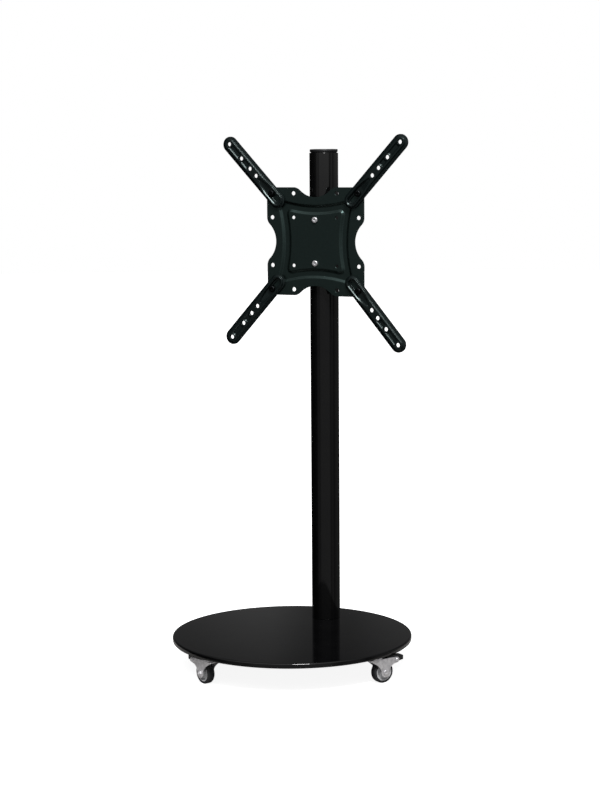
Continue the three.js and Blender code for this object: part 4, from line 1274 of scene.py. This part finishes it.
def camera():
    """A level view turned by yaw, pitched down and rolled, in that order."""
    ahead = Vector((
        -math.sin(CAMERA_YAW) * math.cos(CAMERA_PITCH),
        math.cos(CAMERA_YAW) * math.cos(CAMERA_PITCH),
        -math.sin(CAMERA_PITCH),
    ))
    right = Vector((math.cos(CAMERA_YAW), math.sin(CAMERA_YAW), 0))
    above = right.cross(ahead)
    tilted_right = right * math.cos(CAMERA_ROLL) + above * math.sin(CAMERA_ROLL)
    tilted_up = above * math.cos(CAMERA_ROLL) - right * math.sin(CAMERA_ROLL)
    turn = Matrix((tilted_right, tilted_up, -ahead)).transposed()
    lens = bpy.data.cameras.new("camera")
    lens.sensor_fit = "VERTICAL"
    lens.sensor_height = SENSOR_HEIGHT
    lens.lens = FOCAL_SHARE * SENSOR_HEIGHT
    lens.clip_end = SEES_TO
    eye = bpy.data.objects.new("camera", lens)
    eye.matrix_world = Matrix.Translation(Vector(CAMERA_PLACE) * MM) @ turn.to_4x4()
    bpy.context.scene.collection.objects.link(eye)
    bpy.context.scene.camera = eye


def worked(tree, operation, first, second):
    """One sum of two sockets, or of a socket and a number."""
    node = add(tree, "ShaderNodeMath", {"operation": operation})
    for socket, value in zip(node.inputs, (first, second)):
        if isinstance(value, (int, float)):
            socket.default_value = value
        else:
            tree.links.new(value, socket)
    return node.outputs[0]


def product(tree, *factors):
    """All the factors multiplied."""
    total = factors[0]
    for factor in factors[1:]:
        total = worked(tree, "MULTIPLY", total, factor)
    return total


def floor_ring(name, radius, hole, glow):
    """A flat ring of floor. To the camera it glows, so that it is white but for the stand's shadow. To
    all other rays it is a mid grey."""
    paint = bpy.data.materials.new(f"white_{name}")
    paint.use_nodes = True
    tree = paint.node_tree
    shader = tree.nodes["Principled BSDF"]
    shader.inputs["Roughness"].default_value = 0.9
    shader.inputs["Specular IOR Level"].default_value = 0
    shader.inputs["Emission Color"].default_value = (1, 1, 1, 1)
    seen = add(tree, "ShaderNodeLightPath").outputs["Is Camera Ray"]
    tree.links.new(tinted(tree, seen, "#aaa8a6", "#f4f4f4"), shader.inputs["Base Color"])
    tree.links.new(product(tree, seen, glow), shader.inputs["Emission Strength"])
    bm = bmesh.new()
    fill(bm, *(ring(bm, circle(edge, 96), 0) for edge in (radius, hole) if edge))
    ground = in_metres(name, bm, paint)
    return ground


def floor():
    """A white floor. Only its near part takes the stand's shadow and shows in polished pieces."""
    floor_ring("near_floor", FLOOR_NEAR, None, 0.9)
    floor_ring("far_floor", FLOOR_FAR, FLOOR_NEAR, 1.0).visible_glossy = False


def ramp(tree, source, unit, table):
    """A curve of brightness over a value, by a table whose places count in this unit."""
    first, last = table[0][0], table[-1][0]
    place_share = spread(tree, source, 0, 1, first * unit, last * unit)
    graded = add(tree, "ShaderNodeValToRGB", Fac=place_share)
    stops = graded.color_ramp.elements
    while len(stops) < len(table):
        stops.new(0.5)
    for stop, (place, brightness) in zip(stops, table):
        stop.position = (place - first) / (last - first)
        stop.color = (brightness, brightness, brightness, 1)
    return graded.outputs["Color"]


def studio():
    """White to the camera. For light, a dark room: bands along its horizon, a graded backdrop behind
    the stand and a soft ceiling before it."""
    world = bpy.data.worlds.new("studio")
    bpy.context.scene.world = world
    world.use_nodes = True
    tree = world.node_tree
    tree.nodes.remove(tree.nodes["Background"])
    where = add(tree, "ShaderNodeTexCoord").outputs["Generated"]
    facing = add(tree, "ShaderNodeMapping", {"Rotation": (0, 0, QUARTER - CAMERA_YAW)}, Vector=where)
    split = add(tree, "ShaderNodeSeparateXYZ", Vector=facing.outputs["Vector"])
    to_camera, to_right, height = split.outputs
    turn = worked(tree, "ARCTAN2", to_right, to_camera)
    by_height = product(
        tree,
        spread(tree, height, *HORIZON_RISE),
        spread(tree, height, *HORIZON_FADE),
        spread(tree, height, *HORIZON_FOOT),
    )
    room = product(tree, ramp(tree, turn, math.radians(1), HORIZON), by_height)
    backdrop = product(
        tree,
        spread(tree, to_camera, *BACKDROP_SIDES),
        spread(tree, height, *BACKDROP_FADE),
        spread(tree, height, *BACKDROP_FOOT),
        ramp(tree, to_right, 0.001, BACKDROP),
    )
    ceiling = product(tree, ramp(tree, turn, math.radians(1), CEILING), spread(tree, height, *CEILING_EDGE))
    light = worked(tree, "ADD", worked(tree, "ADD", room, backdrop), ceiling)
    lit = add(tree, "ShaderNodeBackground", {"Color": (1, 1, 1, 1)}, Strength=light)
    white = add(tree, "ShaderNodeBackground", {"Color": (1, 1, 1, 1), "Strength": 1.0})
    seen = add(tree, "ShaderNodeLightPath").outputs["Is Camera Ray"]
    blend = add(tree, "ShaderNodeMixShader", Fac=seen)
    for socket, source in zip(blend.inputs[1:], (lit, white)):
        tree.links.new(source.outputs["Background"], socket)
    tree.links.new(blend.outputs["Shader"], tree.nodes["World Output"].inputs["Surface"])


def key_light():
    light = bpy.data.lights.new("key", "AREA")
    light.shape = "SQUARE"
    light.size = KEY_SIDE
    light.energy = KEY_POWER
    lamp = bpy.data.objects.new("key", light)
    lamp.location = KEY_PLACE
    aim = Vector(KEY_TARGET) - Vector(KEY_PLACE)
    lamp.rotation_euler = aim.to_track_quat("-Z", "Y").to_euler()
    bpy.context.scene.collection.objects.link(lamp)


camera()
floor()
studio()
key_light()

bpy.context.scene.view_settings.view_transform = "Standard"
